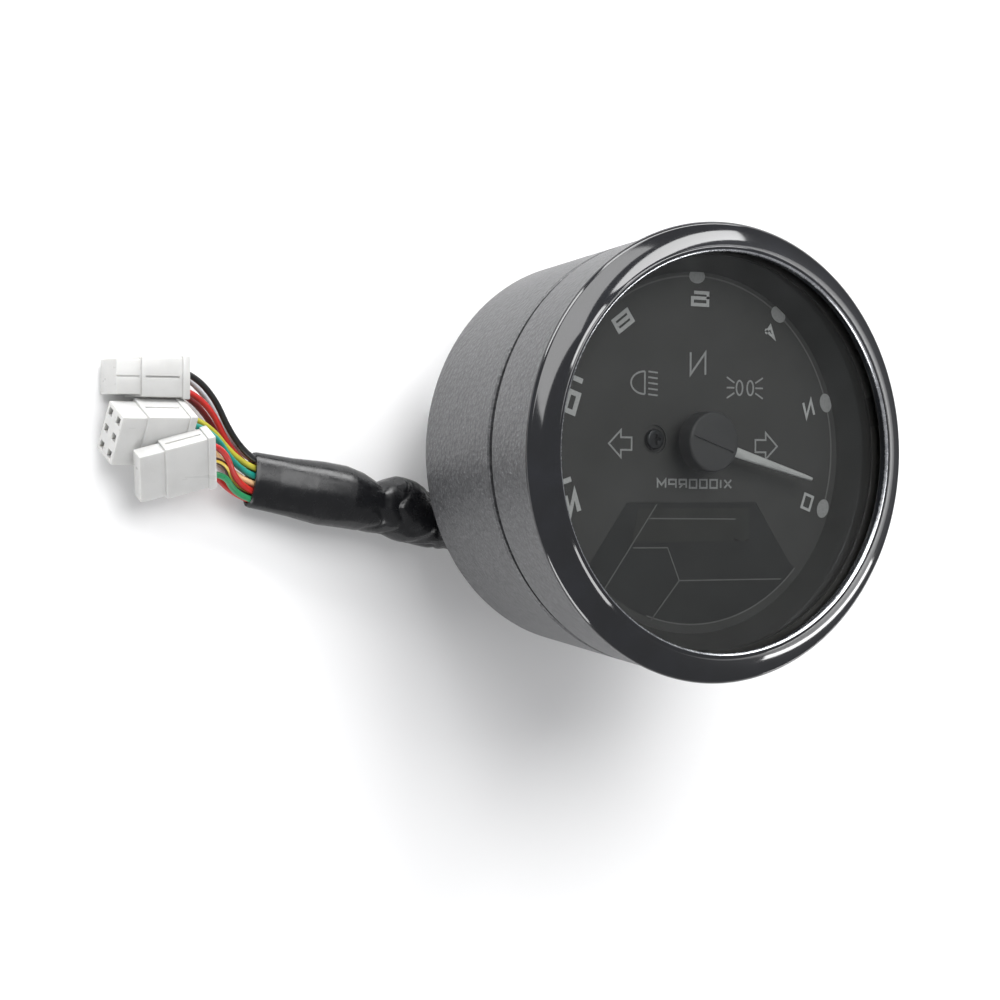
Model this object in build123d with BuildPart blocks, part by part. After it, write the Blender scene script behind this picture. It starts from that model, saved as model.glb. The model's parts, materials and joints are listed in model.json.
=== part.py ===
from build123d import *
import math
import os

os.makedirs("parts", exist_ok=True)

# A round motorcycle gauge standing face up on its two mounting studs, with its harness on the table.
# +Z is the dial's normal, +Y is twelve o'clock on the dial, z = 0 is the plane of the stud tips. Millimetres.

# ---------------------------------------------------------------- driving dimensions
STUD_REACH = 16.0                    # studs stand this far out of the back
CASE_DEPTH = 44.0                    # back face to the bezel's widest line
RIM_R = 42.5                         # bezel's widest radius
CASE_R = 42.0                        # radius the case's cone would have at the bezel
CONE_SLOPE = 0.1244                  # radius lost per millimetre towards the back
WALL = 2.2
FLOOR = 2.4
BACK_Z = STUD_REACH
RIM_Z = BACK_Z + CASE_DEPTH
FLOOR_Z = BACK_Z + FLOOR
SEAM_Z = RIM_Z - 16.5                # lower lip of the dark seam
SEAM_GAP = 1.4
RING_Z = SEAM_Z + SEAM_GAP           # upper lip of the seam
RING_TOP = RIM_Z - 1.0
SHELF_Z = 43.6                       # board sits here
SHELF_BORE = 29.5
BOARD_T = 1.6
BOARD_Z = SHELF_Z + BOARD_T
DIAL_Z = 52.2                        # printed face of the dial
DIAL_T = 1.0
DIAL_R = 37.3
LENS_Z = 59.4
LENS_T = 1.6
UNDER_LIP = LENS_Z + LENS_T + 0.4      # the bezel's lip presses on the gasket here
LIP_Z = RIM_Z + 3.3
LIP_R = 36.85
PIVOT = (0.0, 2.0)
HUB_R = 5.6
HUB_TOP = 58.8
NEEDLE_LENGTH = 25.4
NEEDLE_REST = -15.4                  # degrees from +X, as it rests unpowered
SHAFT_D = 1.5
STUDS = [(-22.0, 8.0), (22.0, 8.0)]
STUD_D = 6.0
STUD_CORE_D = 5.4                    # a stud is drawn at its thread's mid-depth from its nut upwards
SPOT_DEPTH = 0.2                     # spot faces under the washers and the gland's flange
WASHER_T = 1.2
NUT_T = 5.0
NUT_LOW = BACK_Z + SPOT_DEPTH - WASHER_T - NUT_T
GLAND_FLANGE_R = 9.0
OUTLET_R = 6.1                       # the gland's side outlet
CLAMP_R = 6.5                        # its clamp stays clear of a bracket against the case's back
POST_CIRCLE = 32.0
POST_ANGLES = [45, 135, 225, 315]
BUTTON = (0.0, 24.0)
BUTTON_TRAVEL = 0.25
SLEEVE_D = 11.2
SLEEVE_BORE = 9.8
SLEEVE_BORE_DEPTH = 17.0
WIRE_D = 1.3
PITCH = 3.4                          # between terminals in a connector


def cone_r(z):
    """Outside radius of the tapered case at height z."""
    return CASE_R - (RIM_Z - z) * CONE_SLOPE


def polar(radius, degrees):
    """A point on a circle about the gauge's axis."""
    return (radius * math.cos(math.radians(degrees)), radius * math.sin(math.radians(degrees)))


def turned(outline):
    """A solid of revolution about Z from (radius, height) corners."""
    with BuildPart() as body:
        with BuildSketch(Plane.XZ):
            with BuildLine():
                Polyline(*outline, close=True)
            make_face()
        revolve(axis=Axis.Z)
    return body.part


def ring(outer, inner, low, high, centre=(0, 0)):
    """A plain ring or, with no inner radius, a disc."""
    with BuildPart() as body:
        with BuildSketch(Plane.XY.offset(low)):
            with Locations(centre):
                Circle(outer)
                if inner:
                    Circle(inner, mode=Mode.SUBTRACT)
        extrude(amount=high - low)
    return body.part


def save(part, name):
    """Label a piece and write its STEP."""
    part.label = name
    export_step(part, f"parts/{name}.step")


# ---------------------------------------------------------------- rear housing
post_points = [polar(POST_CIRCLE, a) for a in POST_ANGLES]
with BuildPart() as rear_housing:
    with BuildSketch(Plane.XZ):
        with BuildLine():
            Polyline(
                (0, BACK_Z),
                (cone_r(BACK_Z) - 1.0, BACK_Z),
                (cone_r(BACK_Z + 1.0), BACK_Z + 1.0),
                (cone_r(SEAM_Z - 0.35), SEAM_Z - 0.35),
                (cone_r(SEAM_Z) - 0.35, SEAM_Z),
                (cone_r(SEAM_Z) - WALL, SEAM_Z),
                (cone_r(FLOOR_Z) - WALL, FLOOR_Z),
                (0, FLOOR_Z),
                close=True,
            )
        make_face()
    revolve(axis=Axis.Z)
    # screw posts, stud bosses and the button's guide stand on the floor
    with BuildSketch(Plane.XY.offset(FLOOR_Z - 0.5)):
        with Locations(*post_points):
            Circle(4.4)
    extrude(amount=37.4 - FLOOR_Z + 0.5)
    with BuildSketch(Plane.XY.offset(FLOOR_Z - 0.5)):
        with Locations(*STUDS):
            Circle(7.0)
    extrude(amount=8.6)
    with BuildSketch(Plane.XY.offset(FLOOR_Z - 0.5)):
        with Locations(BUTTON):
            Circle(4.2)
    extrude(amount=8.1)
    # guide collar on the back
    with BuildSketch(Plane.XY.offset(BACK_Z - 1.6)):
        with Locations(BUTTON):
            Circle(5.6)
    extrude(amount=1.8)
    # screw recesses and clearance holes
    with BuildSketch(Plane.XY.offset(BACK_Z - 0.1)):
        with Locations(*post_points):
            Circle(3.2)
    extrude(amount=10.1, mode=Mode.SUBTRACT)
    with BuildSketch(Plane.XY.offset(BACK_Z)):
        with Locations(*post_points):
            Circle(1.7)
    extrude(amount=24, mode=Mode.SUBTRACT)
    # stud pockets
    with BuildSketch(Plane.XY.offset(BACK_Z - 0.1)):
        with Locations(*STUDS):
            Circle(STUD_D / 2 + 0.02)
    extrude(amount=8.0, mode=Mode.SUBTRACT)
    with BuildSketch(Plane.XY.offset(BACK_Z - 0.1)):
        with Locations(*STUDS):
            Circle(6.2)
    extrude(amount=0.1 + SPOT_DEPTH, mode=Mode.SUBTRACT)
    with BuildSketch(Plane.XY.offset(BACK_Z + 4.5)):
        with Locations(*STUDS):
            RegularPolygon(5.02, 6)
    extrude(amount=3.04, mode=Mode.SUBTRACT)
    # bore and seal groove for the button
    with BuildSketch(Plane.XY.offset(BACK_Z - 2)):
        with Locations(BUTTON):
            Circle(1.75)
    extrude(amount=14, mode=Mode.SUBTRACT)
    with BuildSketch(Plane.XY.offset(20.2)):
        with Locations(BUTTON):
            Circle(3.0)
    extrude(amount=1.6, mode=Mode.SUBTRACT)

# ---------------------------------------------------------------- harness route
# The sleeve leaves the gland's side outlet, then lies back to the table.
sleeve_route = [
    Vector(0.7, -19.1, 7.4),
    Vector(-21.5, -15.6, 6.9),
    Vector(-45.0, -9.0, 6.2),
    Vector(-68.2, -5.7, 5.9),
]
outlet_dir = (sleeve_route[0] - sleeve_route[1]).normalized()
OUTLET_LENGTH = 9.5
gland_at = sleeve_route[0] + outlet_dir * OUTLET_LENGTH
GLAND = (gland_at.X, gland_at.Y)
with BuildPart(mode=Mode.PRIVATE) as gland_cut:
    with BuildSketch(Plane.XY.offset(BACK_Z - 1)):
        with Locations(GLAND):
            Circle(7.02)
    extrude(amount=FLOOR + 2)
    with BuildSketch(Plane.XY.offset(BACK_Z - 1)):
        with Locations(GLAND):
            Circle(GLAND_FLANGE_R + 0.1)
    extrude(amount=1 + SPOT_DEPTH)
housing = rear_housing.part - gland_cut.part
save(housing, "rear_housing")

save(turned([
    (cone_r(SEAM_Z) - WALL + 0.25, SEAM_Z),
    (cone_r(SEAM_Z) - 1.1, SEAM_Z),
    (cone_r(SEAM_Z) - 1.3, (SEAM_Z + RING_Z) / 2),
    (cone_r(SEAM_Z) - 1.1, RING_Z),
    (cone_r(SEAM_Z) - WALL + 0.25, RING_Z),
]), "housing_seal")

# ---------------------------------------------------------------- middle ring
BOSS_R = 3.4
BOSS_LOW = 37.5
SPIGOT_R = cone_r(41.6) - WALL - 0.15
with BuildPart() as middle_ring:
    with BuildSketch(Plane.XZ):
        with BuildLine():
            Polyline(
                (SHELF_BORE, 41.6),
                (SHELF_BORE, SHELF_Z),
                (35.6, SHELF_Z),
                (35.6, 46.0),
                (37.6, 46.0),
                (37.6, 55.4),
                (39.65, 55.4),
                (39.65, RING_TOP),
                (cone_r(RING_TOP), RING_TOP),
                (cone_r(RING_Z + 0.35), RING_Z + 0.35),
                (cone_r(RING_Z) - 0.35, RING_Z),
                (SPIGOT_R, RING_Z),
                (SPIGOT_R, 41.6),
                close=True,
            )
        make_face()
    revolve(axis=Axis.Z)
    with BuildSketch(Plane.XY.offset(BOSS_LOW)):
        with Locations(*post_points):
            Circle(BOSS_R)
    extrude(amount=41.8 - BOSS_LOW)
    with BuildSketch(Plane.XY.offset(BOSS_LOW - 0.1)):
        with Locations(*post_points):
            Circle(1.53)
    extrude(amount=5.1, mode=Mode.SUBTRACT)
    BOARD_SCREWS = [polar(33.0, a) for a in (90, 200, 340)]
    with BuildSketch(Plane.XY.offset(SHELF_Z - 1.6)):
        with Locations(*BOARD_SCREWS):
            Circle(1.03)
    extrude(amount=1.7, mode=Mode.SUBTRACT)
save(middle_ring.part, "middle_ring")

# ---------------------------------------------------------------- bezel, lens and trim
with BuildPart() as bezel:
    with BuildSketch(Plane.XZ):
        with BuildLine():
            Polyline(
                (LIP_R + 0.35, LIP_Z),
                (LIP_R, LIP_Z - 0.35),
                (LIP_R, UNDER_LIP),
                (38.8, UNDER_LIP),
                (38.8, 56.0),
                (39.6, 56.0),
                (39.6, RING_TOP + 0.3),
                (41.7, RING_TOP + 0.3),
                (RIM_R, RIM_Z - 0.4),
                (RIM_R, RIM_Z + 0.2),
                (RIM_R - 0.45, RIM_Z + 0.65),
            )
            ThreePointArc((RIM_R - 0.45, RIM_Z + 0.65), (39.9, RIM_Z + 1.4), (38.1, LIP_Z - 0.45))
            Polyline((38.1, LIP_Z - 0.45), (37.75, LIP_Z), (LIP_R + 0.35, LIP_Z))
        make_face()
    revolve(axis=Axis.Z)
save(bezel.part, "bezel")

save(ring(38.7, 0, LENS_Z, LENS_Z + LENS_T), "lens")
save(ring(38.6, 37.2, LENS_Z + LENS_T, UNDER_LIP), "lens_gasket")
save(turned([
    (33.6, DIAL_Z),
    (36.4, LENS_Z - 0.6),
    (36.4, LENS_Z),
    (38.6, LENS_Z),
    (38.6, 56.2),
    (DIAL_R, 56.2),
    (DIAL_R, DIAL_Z),
]), "trim_ring")

# ---------------------------------------------------------------- dial
WINDOW = [(-14.5, -9.2), (14.5, -9.2), (20.0, -17.0), (20.0, -22.0), (14.5, -26.4),
          (-14.5, -26.4), (-20.0, -22.0), (-20.0, -17.0)]
DIAL_SCREW = (-9.0, 2.4)
with BuildPart() as dial_plate:
    with BuildSketch(Plane.XY.offset(DIAL_Z - DIAL_T)):
        Circle(DIAL_R)
        with Locations(PIVOT):
            Circle(2.6, mode=Mode.SUBTRACT)
        with BuildLine(mode=Mode.PRIVATE) as window_line:
            Polyline(*WINDOW, close=True)
        add(make_face(window_line.edges(), mode=Mode.PRIVATE), mode=Mode.SUBTRACT)
        with Locations(DIAL_SCREW):
            Circle(1.2, mode=Mode.SUBTRACT)
    extrude(amount=DIAL_T)
    with BuildSketch(Plane.XY.offset(DIAL_Z - 0.4)):
        with Locations(DIAL_SCREW):
            Circle(2.7)
    extrude(amount=0.5, mode=Mode.SUBTRACT)
save(dial_plate.part, "dial_plate")


def screw(at, head_r, head_h, head_low, shank_r, tip, point_up=False):
    """A cross-head screw on a vertical axis; its shank runs from the head to the tip height."""
    under = head_low if not point_up else head_low + head_h
    outer = head_low + head_h if not point_up else head_low
    with BuildPart() as body:
        with BuildSketch(Plane.XY.offset(head_low)):
            with Locations(at):
                Circle(head_r)
        extrude(amount=head_h)
        outer_edge = body.edges().filter_by(GeomType.CIRCLE).sort_by(Axis.Z)[0 if point_up else -1]
        fillet(outer_edge, min(0.35 * head_h, 0.6))
        with BuildSketch(Plane.XY.offset(min(under, tip))):
            with Locations(at):
                Circle(shank_r)
        extrude(amount=abs(tip - under))
        slot_low = outer - (0 if point_up else 0.55 * head_h)
        with BuildSketch(Plane.XY.offset(slot_low)):
            with Locations(at):
                Rectangle(head_r * 1.1, head_r * 0.26)
                Rectangle(head_r * 0.26, head_r * 1.1)
        extrude(amount=0.55 * head_h, mode=Mode.SUBTRACT)
    return body.part


def group(solids):
    """Identical pieces kept as separate solids in one node."""
    return Compound(children=list(solids)) if len(solids) > 1 else solids[0]


save(screw(DIAL_SCREW, 1.9, 1.1, DIAL_Z - 0.4, 1.0, 47.6), "dial_screw")
save(group([screw(p, 2.2, 1.5, BOARD_Z, 1.0, SHELF_Z - 1.4) for p in BOARD_SCREWS]), "board_screws")
save(group([screw(p, 2.9, 2.2, 23.8, 1.5, 42.2, True) for p in post_points]), "housing_screws")

# ---------------------------------------------------------------- light box and display
LCD_HALF = 20.4
LCD_LOW = -26.9
LCD_HIGH = -8.4
LCD_MID = ((LCD_LOW + LCD_HIGH) / 2)
WELLS = [(-16.6, 1.6), (16.6, 1.6), (0.0, 16.4), (-11.5, 12.6), (11.5, 12.6)]
LAMPS = [polar(26.5, a) for a in (-15, 30, 60, 120, 150, 195)]
with BuildPart() as light_box:
    with BuildSketch(Plane.XY.offset(BOARD_Z)):
        Circle(35.3)
        Circle(34.0, mode=Mode.SUBTRACT)
    extrude(amount=1.2)
    with BuildSketch(Plane.XY.offset(46.2)):
        Circle(37.2)
        Circle(34.0, mode=Mode.SUBTRACT)
    extrude(amount=4.0)
    with BuildSketch(Plane.XY.offset(50.0)):
        Circle(37.2)
        with Locations((0, LCD_MID)):
            Rectangle(2 * LCD_HALF + 0.4, LCD_HIGH - LCD_LOW + 0.4, mode=Mode.SUBTRACT)
        with Locations(*LAMPS):
            Circle(3.0, mode=Mode.SUBTRACT)
    extrude(amount=DIAL_Z - DIAL_T - 50.0)
    with BuildSketch(Plane.XY.offset(46.4)):
        with Locations(*WELLS):
            Circle(3.6)
        with Locations(DIAL_SCREW):
            Circle(2.3)
        with Locations(PIVOT):
            Circle(4.0)
    extrude(amount=3.8)
    with BuildSketch(Plane.XY.offset(46.3)):
        with Locations(*WELLS):
            Circle(2.7)
        with Locations(PIVOT):
            Circle(3.0)
    extrude(amount=6.0, mode=Mode.SUBTRACT)
    with BuildSketch(Plane.XY.offset(46.9)):
        with Locations(DIAL_SCREW):
            Circle(1.03)
    extrude(amount=6.0, mode=Mode.SUBTRACT)
    # room for the heads of the board screws
    with BuildSketch(Plane.XY.offset(BOARD_Z - 0.1)):
        with Locations(*BOARD_SCREWS):
            Circle(2.7)
    extrude(amount=3.0, mode=Mode.SUBTRACT)
save(light_box.part, "light_box")

with BuildPart() as lcd_panel:
    with BuildSketch(Plane.XY.offset(48.5)):
        with Locations((0, LCD_MID)):
            Rectangle(2 * LCD_HALF, LCD_HIGH - LCD_LOW)
    extrude(amount=1.1)
    with BuildSketch(Plane.XY.offset(49.6)):
        with Locations((0, LCD_MID - 1.0)):
            Rectangle(2 * LCD_HALF, LCD_HIGH - LCD_LOW - 2.0)
    extrude(amount=1.1)
save(lcd_panel.part, "lcd_panel")

with BuildPart() as lcd_light_guide:
    with BuildSketch(Plane.XY.offset(BOARD_Z + 0.2)):
        with Locations((0, LCD_MID)):
            Rectangle(2 * LCD_HALF - 2, LCD_HIGH - LCD_LOW - 6.4)
    extrude(amount=48.5 - BOARD_Z - 0.2)
    chamfer(lcd_light_guide.edges().filter_by(Axis.Z), 1.5)
save(lcd_light_guide.part, "lcd_light_guide")

with BuildPart() as lcd_contact_strips:
    with BuildSketch(Plane.XY.offset(BOARD_Z)):
        with Locations((0, LCD_HIGH - 1.4), (0, LCD_LOW + 1.4)):
            Rectangle(2 * LCD_HALF - 4, 2.0)
    extrude(amount=48.5 - BOARD_Z)
save(lcd_contact_strips.part, "lcd_contact_strips")

# ---------------------------------------------------------------- circuit board
MOTOR_PEGS = [(PIVOT[0] - 8.5, PIVOT[1] + 9.0), (PIVOT[0] + 8.5, PIVOT[1] - 9.0)]
MOTOR_PINS = [(PIVOT[0] + x, PIVOT[1] + y) for x in (-6.0, -3.0, 3.0, 6.0) for y in (11.0,)]
with BuildPart() as circuit_board:
    with BuildSketch(Plane.XY.offset(SHELF_Z)):
        Circle(35.3)
        with Locations(*BOARD_SCREWS):
            Circle(1.2, mode=Mode.SUBTRACT)
        with Locations(PIVOT):
            Circle(2.6, mode=Mode.SUBTRACT)
        with Locations(*MOTOR_PEGS):
            Circle(1.05, mode=Mode.SUBTRACT)
        with Locations(*MOTOR_PINS):
            Circle(0.45, mode=Mode.SUBTRACT)
    extrude(amount=BOARD_T)
save(circuit_board.part, "circuit_board")

with BuildPart() as lamps:
    with BuildSketch(Plane.XY.offset(BOARD_Z)):
        with Locations(*WELLS, *LAMPS):
            Rectangle(3.2, 2.8)
    extrude(amount=1.0)
    chamfer(lamps.faces().group_by(Axis.Z)[-1].edges(), 0.25)
save(lamps.part, "lamps")

CHIP = (20.5, 0.5)
with BuildPart() as controller_chip:
    with BuildSketch(Plane.XY.offset(SHELF_Z - 1.7)):
        with Locations(CHIP):
            Rectangle(10, 10)
    extrude(amount=1.4)
    chamfer(controller_chip.edges().filter_by(Axis.Z), 0.6)
    with BuildSketch(Plane.XY.offset(SHELF_Z - 0.3)):
        with Locations(CHIP):
            with GridLocations(0.8, 11.0, 11, 2):
                Rectangle(0.35, 1.6)
            with GridLocations(11.0, 0.8, 2, 11):
                Rectangle(1.6, 0.35)
    extrude(amount=0.3)
    with BuildSketch(Plane.XY.offset(SHELF_Z - 0.9)):
        with Locations(CHIP):
            with GridLocations(0.8, 10.2, 11, 2):
                Rectangle(0.35, 0.6)
            with GridLocations(10.2, 0.8, 2, 11):
                Rectangle(0.6, 0.35)
    extrude(amount=0.7)
save(controller_chip.part, "controller_chip")

with BuildPart() as capacitors:
    with BuildSketch(Plane.XY.offset(SHELF_Z - 9.5)):
        with Locations((-19.0, -6.0), (-19.0, -15.0)):
            Circle(4.0)
    extrude(amount=9.5)
    fillet(capacitors.faces().sort_by(Axis.Z)[:2].edges(), 0.5)
save(capacitors.part, "capacitors")

with BuildPart() as regulator:
    with BuildSketch(Plane.XY.offset(SHELF_Z - 4.4)):
        with Locations((-9.0, -19.0)):
            Rectangle(9.0, 7.5)
    extrude(amount=4.4)
    chamfer(regulator.faces().sort_by(Axis.Z)[0].edges(), 0.5)
save(regulator.part, "regulator")

with BuildPart() as board_connector:
    with BuildSketch(Plane.XY.offset(SHELF_Z - 5.6)):
        with Locations((7.4, -20.0)):
            Rectangle(15.0, 7.0)
    extrude(amount=5.6)
    chamfer(board_connector.faces().sort_by(Axis.Z)[0].edges(), 0.5)
save(board_connector.part, "board_connector")

# ---------------------------------------------------------------- motor and pointer
MOTOR_LOW = SHELF_Z - 8.6
with BuildPart() as motor_base:
    with BuildSketch(Plane.XY.offset(MOTOR_LOW)):
        with Locations(PIVOT):
            RectangleRounded(24, 28, 5)
    extrude(amount=5.6)
    with BuildSketch(Plane.XY.offset(MOTOR_LOW + 1.2)):
        with Locations(PIVOT):
            RectangleRounded(21.6, 25.6, 4)
    extrude(amount=5, mode=Mode.SUBTRACT)
    with BuildSketch(Plane.XY.offset(MOTOR_LOW + 1.2)):
        with Locations(PIVOT):
            Circle(2.0)
            Circle(SHAFT_D / 2 + 0.03, mode=Mode.SUBTRACT)
    extrude(amount=1.4)
save(motor_base.part, "motor_base")

with BuildPart() as motor_cover:
    with BuildSketch(Plane.XY.offset(MOTOR_LOW + 5.6)):
        with Locations(PIVOT):
            RectangleRounded(24, 28, 5)
    extrude(amount=3.0)
    with BuildSketch(Plane.XY.offset(MOTOR_LOW + 5.5)):
        with Locations(PIVOT):
            RectangleRounded(21.6, 25.6, 4)
    extrude(amount=1.9, mode=Mode.SUBTRACT)
    with BuildSketch(Plane.XY.offset(SHELF_Z - 0.5)):
        with Locations(PIVOT):
            Circle(2.3)
        with Locations(*MOTOR_PEGS):
            Circle(1.0)
    extrude(amount=2.6)
    with BuildSketch(Plane.XY.offset(MOTOR_LOW + 4)):
        with Locations(PIVOT):
            Circle(SHAFT_D / 2 + 0.03)
        with Locations(*MOTOR_PINS):
            Circle(0.31)
    extrude(amount=12, mode=Mode.SUBTRACT)
save(motor_cover.part, "motor_cover")

save(group([ring(0.3, 0, SHELF_Z - 2.3, BOARD_Z + 0.6, p) for p in MOTOR_PINS]), "motor_pins")

COILS = [(PIVOT[0] + x, PIVOT[1] + 10.1) for x in (-5.2, 5.2)]
with BuildPart() as motor_coils:
    with BuildSketch(Plane.XY.offset(MOTOR_LOW + 1.3)):
        with Locations(*COILS):
            RectangleRounded(7.6, 5.0, 1.2)
    extrude(amount=4.8)
save(motor_coils.part, "motor_coils")


def wheel(radius, teeth, low, high, centre):
    """A small gear: a disc with square-cut teeth outside its root."""
    with BuildPart() as body:
        with BuildSketch(Plane.XY.offset(low)):
            with Locations(centre):
                Circle(radius - 0.45)
                with PolarLocations(radius - 0.4, teeth):
                    Rectangle(0.8, 0.42 * 2 * math.pi * radius / teeth)
        extrude(amount=high - low)
    return body.part


OUT_R = 6.9
with BuildPart() as pointer_shaft:
    add(wheel(OUT_R, 52, MOTOR_LOW + 2.9, MOTOR_LOW + 3.7, PIVOT))
    with BuildSketch(Plane.XY.offset(MOTOR_LOW + 1.3)):
        with Locations(PIVOT):
            Circle(SHAFT_D / 2)
    extrude(amount=57.1 - MOTOR_LOW - 1.3)
save(pointer_shaft.part, "pointer_shaft")

pointer_plane = Plane(origin=(PIVOT[0], PIVOT[1], 55.9), x_dir=(*polar(1, NEEDLE_REST), 0), z_dir=(0, 0, 1))
with BuildPart() as pointer_needle:
    with BuildSketch(pointer_plane):
        Circle(3.6)
        with BuildLine():
            Polyline((0, -1.05), (NEEDLE_LENGTH, -0.4), (NEEDLE_LENGTH, 0.4), (0, 1.05), close=True)
        make_face()
    extrude(amount=0.8)
    with BuildSketch(pointer_plane.offset(-0.9)):
        Circle(1.9)
    extrude(amount=1.0)
    with BuildSketch(pointer_plane.offset(-1.0)):
        Circle(SHAFT_D / 2 + 0.02)
    extrude(amount=3.0, mode=Mode.SUBTRACT)
save(pointer_needle.part, "pointer_needle")

with BuildPart() as pointer_hub:
    with BuildSketch(Plane.XY.offset(55.0)):
        with Locations(PIVOT):
            Circle(HUB_R)
    extrude(amount=HUB_TOP - 55.0)
    fillet(pointer_hub.edges().sort_by(Axis.Z)[-1], 0.5)
    with BuildSketch(Plane.XY.offset(54.9)):
        with Locations(PIVOT):
            Circle(HUB_R - 0.9)
    extrude(amount=57.2 - 54.9, mode=Mode.SUBTRACT)
    with BuildSketch(pointer_plane.offset(-1.0)):
        with Locations((4.5, 0)):
            Rectangle(4.0, 2.4)
    extrude(amount=1.9, mode=Mode.SUBTRACT)
    # narrow saw cut across the cap, a little to one side of its middle
    with BuildSketch(pointer_plane.offset(HUB_TOP - 55.9 - 0.25)):
        with Locations((0, -0.5)):
            Rectangle(9.4, 0.35, rotation=-3)
    extrude(amount=0.5, mode=Mode.SUBTRACT)
save(pointer_hub.part, "pointer_hub")

# ---------------------------------------------------------------- mode button
SWITCH_LOW = SHELF_Z - 3.5
with BuildPart() as switch_body:
    with BuildSketch(Plane.XY.offset(SWITCH_LOW)):
        with Locations(BUTTON):
            Rectangle(6, 6)
    extrude(amount=3.5)
    with BuildSketch(Plane.XY.offset(SWITCH_LOW - 0.1)):
        with Locations(BUTTON):
            Circle(1.85)
    extrude(amount=1.6, mode=Mode.SUBTRACT)
save(switch_body.part, "switch_body")
save(ring(1.8, 0, SWITCH_LOW - 0.9, SWITCH_LOW + 1.1, BUTTON), "switch_stem")

with BuildPart() as mode_button:
    with BuildSketch(Plane.XY.offset(11.4)):
        with Locations(BUTTON):
            Circle(4.0)
    extrude(amount=2.4)
    fillet(mode_button.edges().sort_by(Axis.Z)[0], 0.7)
    with BuildSketch(Plane.XY.offset(13.0)):
        with Locations(BUTTON):
            Circle(1.7)
    extrude(amount=SWITCH_LOW - 0.95 - 13.0)
    with BuildSketch(Plane.XY.offset(26.1)):
        with Locations(BUTTON):
            Circle(2.7)
    extrude(amount=1.2)
save(mode_button.part, "mode_button")
save(ring(2.95, 1.75, 20.3, 21.7, BUTTON), "button_seal")

# ---------------------------------------------------------------- mounting hardware
with BuildPart() as mounting_studs:
    with BuildSketch(Plane.XY):
        with Locations(*STUDS):
            Circle(STUD_D / 2)
    extrude(amount=NUT_LOW - 0.2)
    chamfer(mounting_studs.faces().sort_by(Axis.Z)[:2].edges(), 0.7)
    with BuildSketch(Plane.XY.offset(NUT_LOW - 0.2)):
        with Locations(*STUDS):
            Circle(STUD_CORE_D / 2)
    extrude(amount=BACK_Z + 7.5 - NUT_LOW + 0.2)
    with BuildSketch(Plane.XY.offset(BACK_Z + 4.52)):
        with Locations(*STUDS):
            RegularPolygon(5.0, 6)
    extrude(amount=3.0)
save(mounting_studs.part, "mounting_studs")
save(group([ring(6.0, 3.2, NUT_LOW + NUT_T, BACK_Z + SPOT_DEPTH, p) for p in STUDS]), "stud_washers")
with BuildPart() as stud_nuts:
    with BuildSketch(Plane.XY.offset(NUT_LOW)):
        with Locations(*STUDS):
            RegularPolygon(5.77, 6)
            Circle(STUD_CORE_D / 2 + 0.03, mode=Mode.SUBTRACT)
    extrude(amount=NUT_T)
save(stud_nuts.part, "stud_nuts")

# ---------------------------------------------------------------- gland, inner leads, sleeve
outlet_plane = Plane(origin=gland_at, x_dir=(0, 0, 1), z_dir=-outlet_dir)
with BuildPart() as harness_gland:
    with BuildSketch(Plane.XY.offset(0.0)):
        with Locations(GLAND):
            Circle(7.2)
    extrude(amount=BACK_Z - 1.6)
    fillet(harness_gland.edges().sort_by(Axis.Z)[0], 2.0)
    with BuildSketch(Plane.XY.offset(BACK_Z - 1.6)):
        with Locations(GLAND):
            Circle(GLAND_FLANGE_R)
    extrude(amount=1.6 + SPOT_DEPTH)
    with BuildSketch(Plane.XY.offset(BACK_Z)):
        with Locations(GLAND):
            Circle(7.0)
    extrude(amount=FLOOR)
    with BuildSketch(Plane.XY.offset(FLOOR_Z)):
        with Locations(GLAND):
            Circle(8.0)
    extrude(amount=1.6)
    with BuildSketch(outlet_plane):
        Circle(OUTLET_R)
    extrude(amount=OUTLET_LENGTH)
save(harness_gland.part, "harness_gland")

with BuildPart() as gland_clamp:
    with BuildSketch(outlet_plane.offset(OUTLET_LENGTH - 1.9)):
        Circle(CLAMP_R)
        Circle(OUTLET_R, mode=Mode.SUBTRACT)
    extrude(amount=1.6)
save(gland_clamp.part, "gland_clamp")
save(ring(3.2, 0, FLOOR_Z + 1.6, SHELF_Z - 5.6, GLAND), "inner_leads")


def corner_radii(points):
    """Radius of the arc at each bend of a cord's route."""
    found = []
    for before, at, after in zip(points, points[1:], points[2:]):
        a = at - before
        b = after - at
        turn = math.radians(a.get_angle(b))
        found.append(0.45 * min(a.length, b.length) / math.tan(turn / 2))
    return found


def tube(points, diameter, name):
    """A cord of round section along its route; prints what it is."""
    with BuildPart() as body:
        with BuildLine() as line:
            FilletPolyline(*points, radius=corner_radii(points))
        path = line.wire()
        with BuildSketch(Plane(origin=path @ 0, z_dir=path % 0)):
            Circle(diameter / 2)
        sweep(path=path)
    length = path.length
    radii = [round(r, 1) for r in corner_radii(points)]
    ratio = body.part.volume / (math.pi * diameter ** 2 / 4 * length)
    print(f"{name}: {length:.1f} mm, bend radii {radii}, volume ratio {ratio:.4f}")
    return body.part


sleeve = tube(sleeve_route, SLEEVE_D, "harness_sleeve")
sleeve_dir = (sleeve_route[3] - sleeve_route[2]).normalized()
mouth_plane = Plane(origin=sleeve_route[3], x_dir=(0, 0, 1), z_dir=-sleeve_dir)
with BuildPart(mode=Mode.PRIVATE) as sleeve_bore:
    with BuildSketch(mouth_plane.offset(-0.1)):
        Circle(SLEEVE_BORE / 2)
    extrude(amount=SLEEVE_BORE_DEPTH + 0.1)
save(sleeve - sleeve_bore.part, "harness_sleeve")

# ---------------------------------------------------------------- connectors
CONNECTOR_LENGTH = 15.0
SHELL = 2.0                          # from the outer terminals to the outside
HOLE = 2.2


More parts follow.
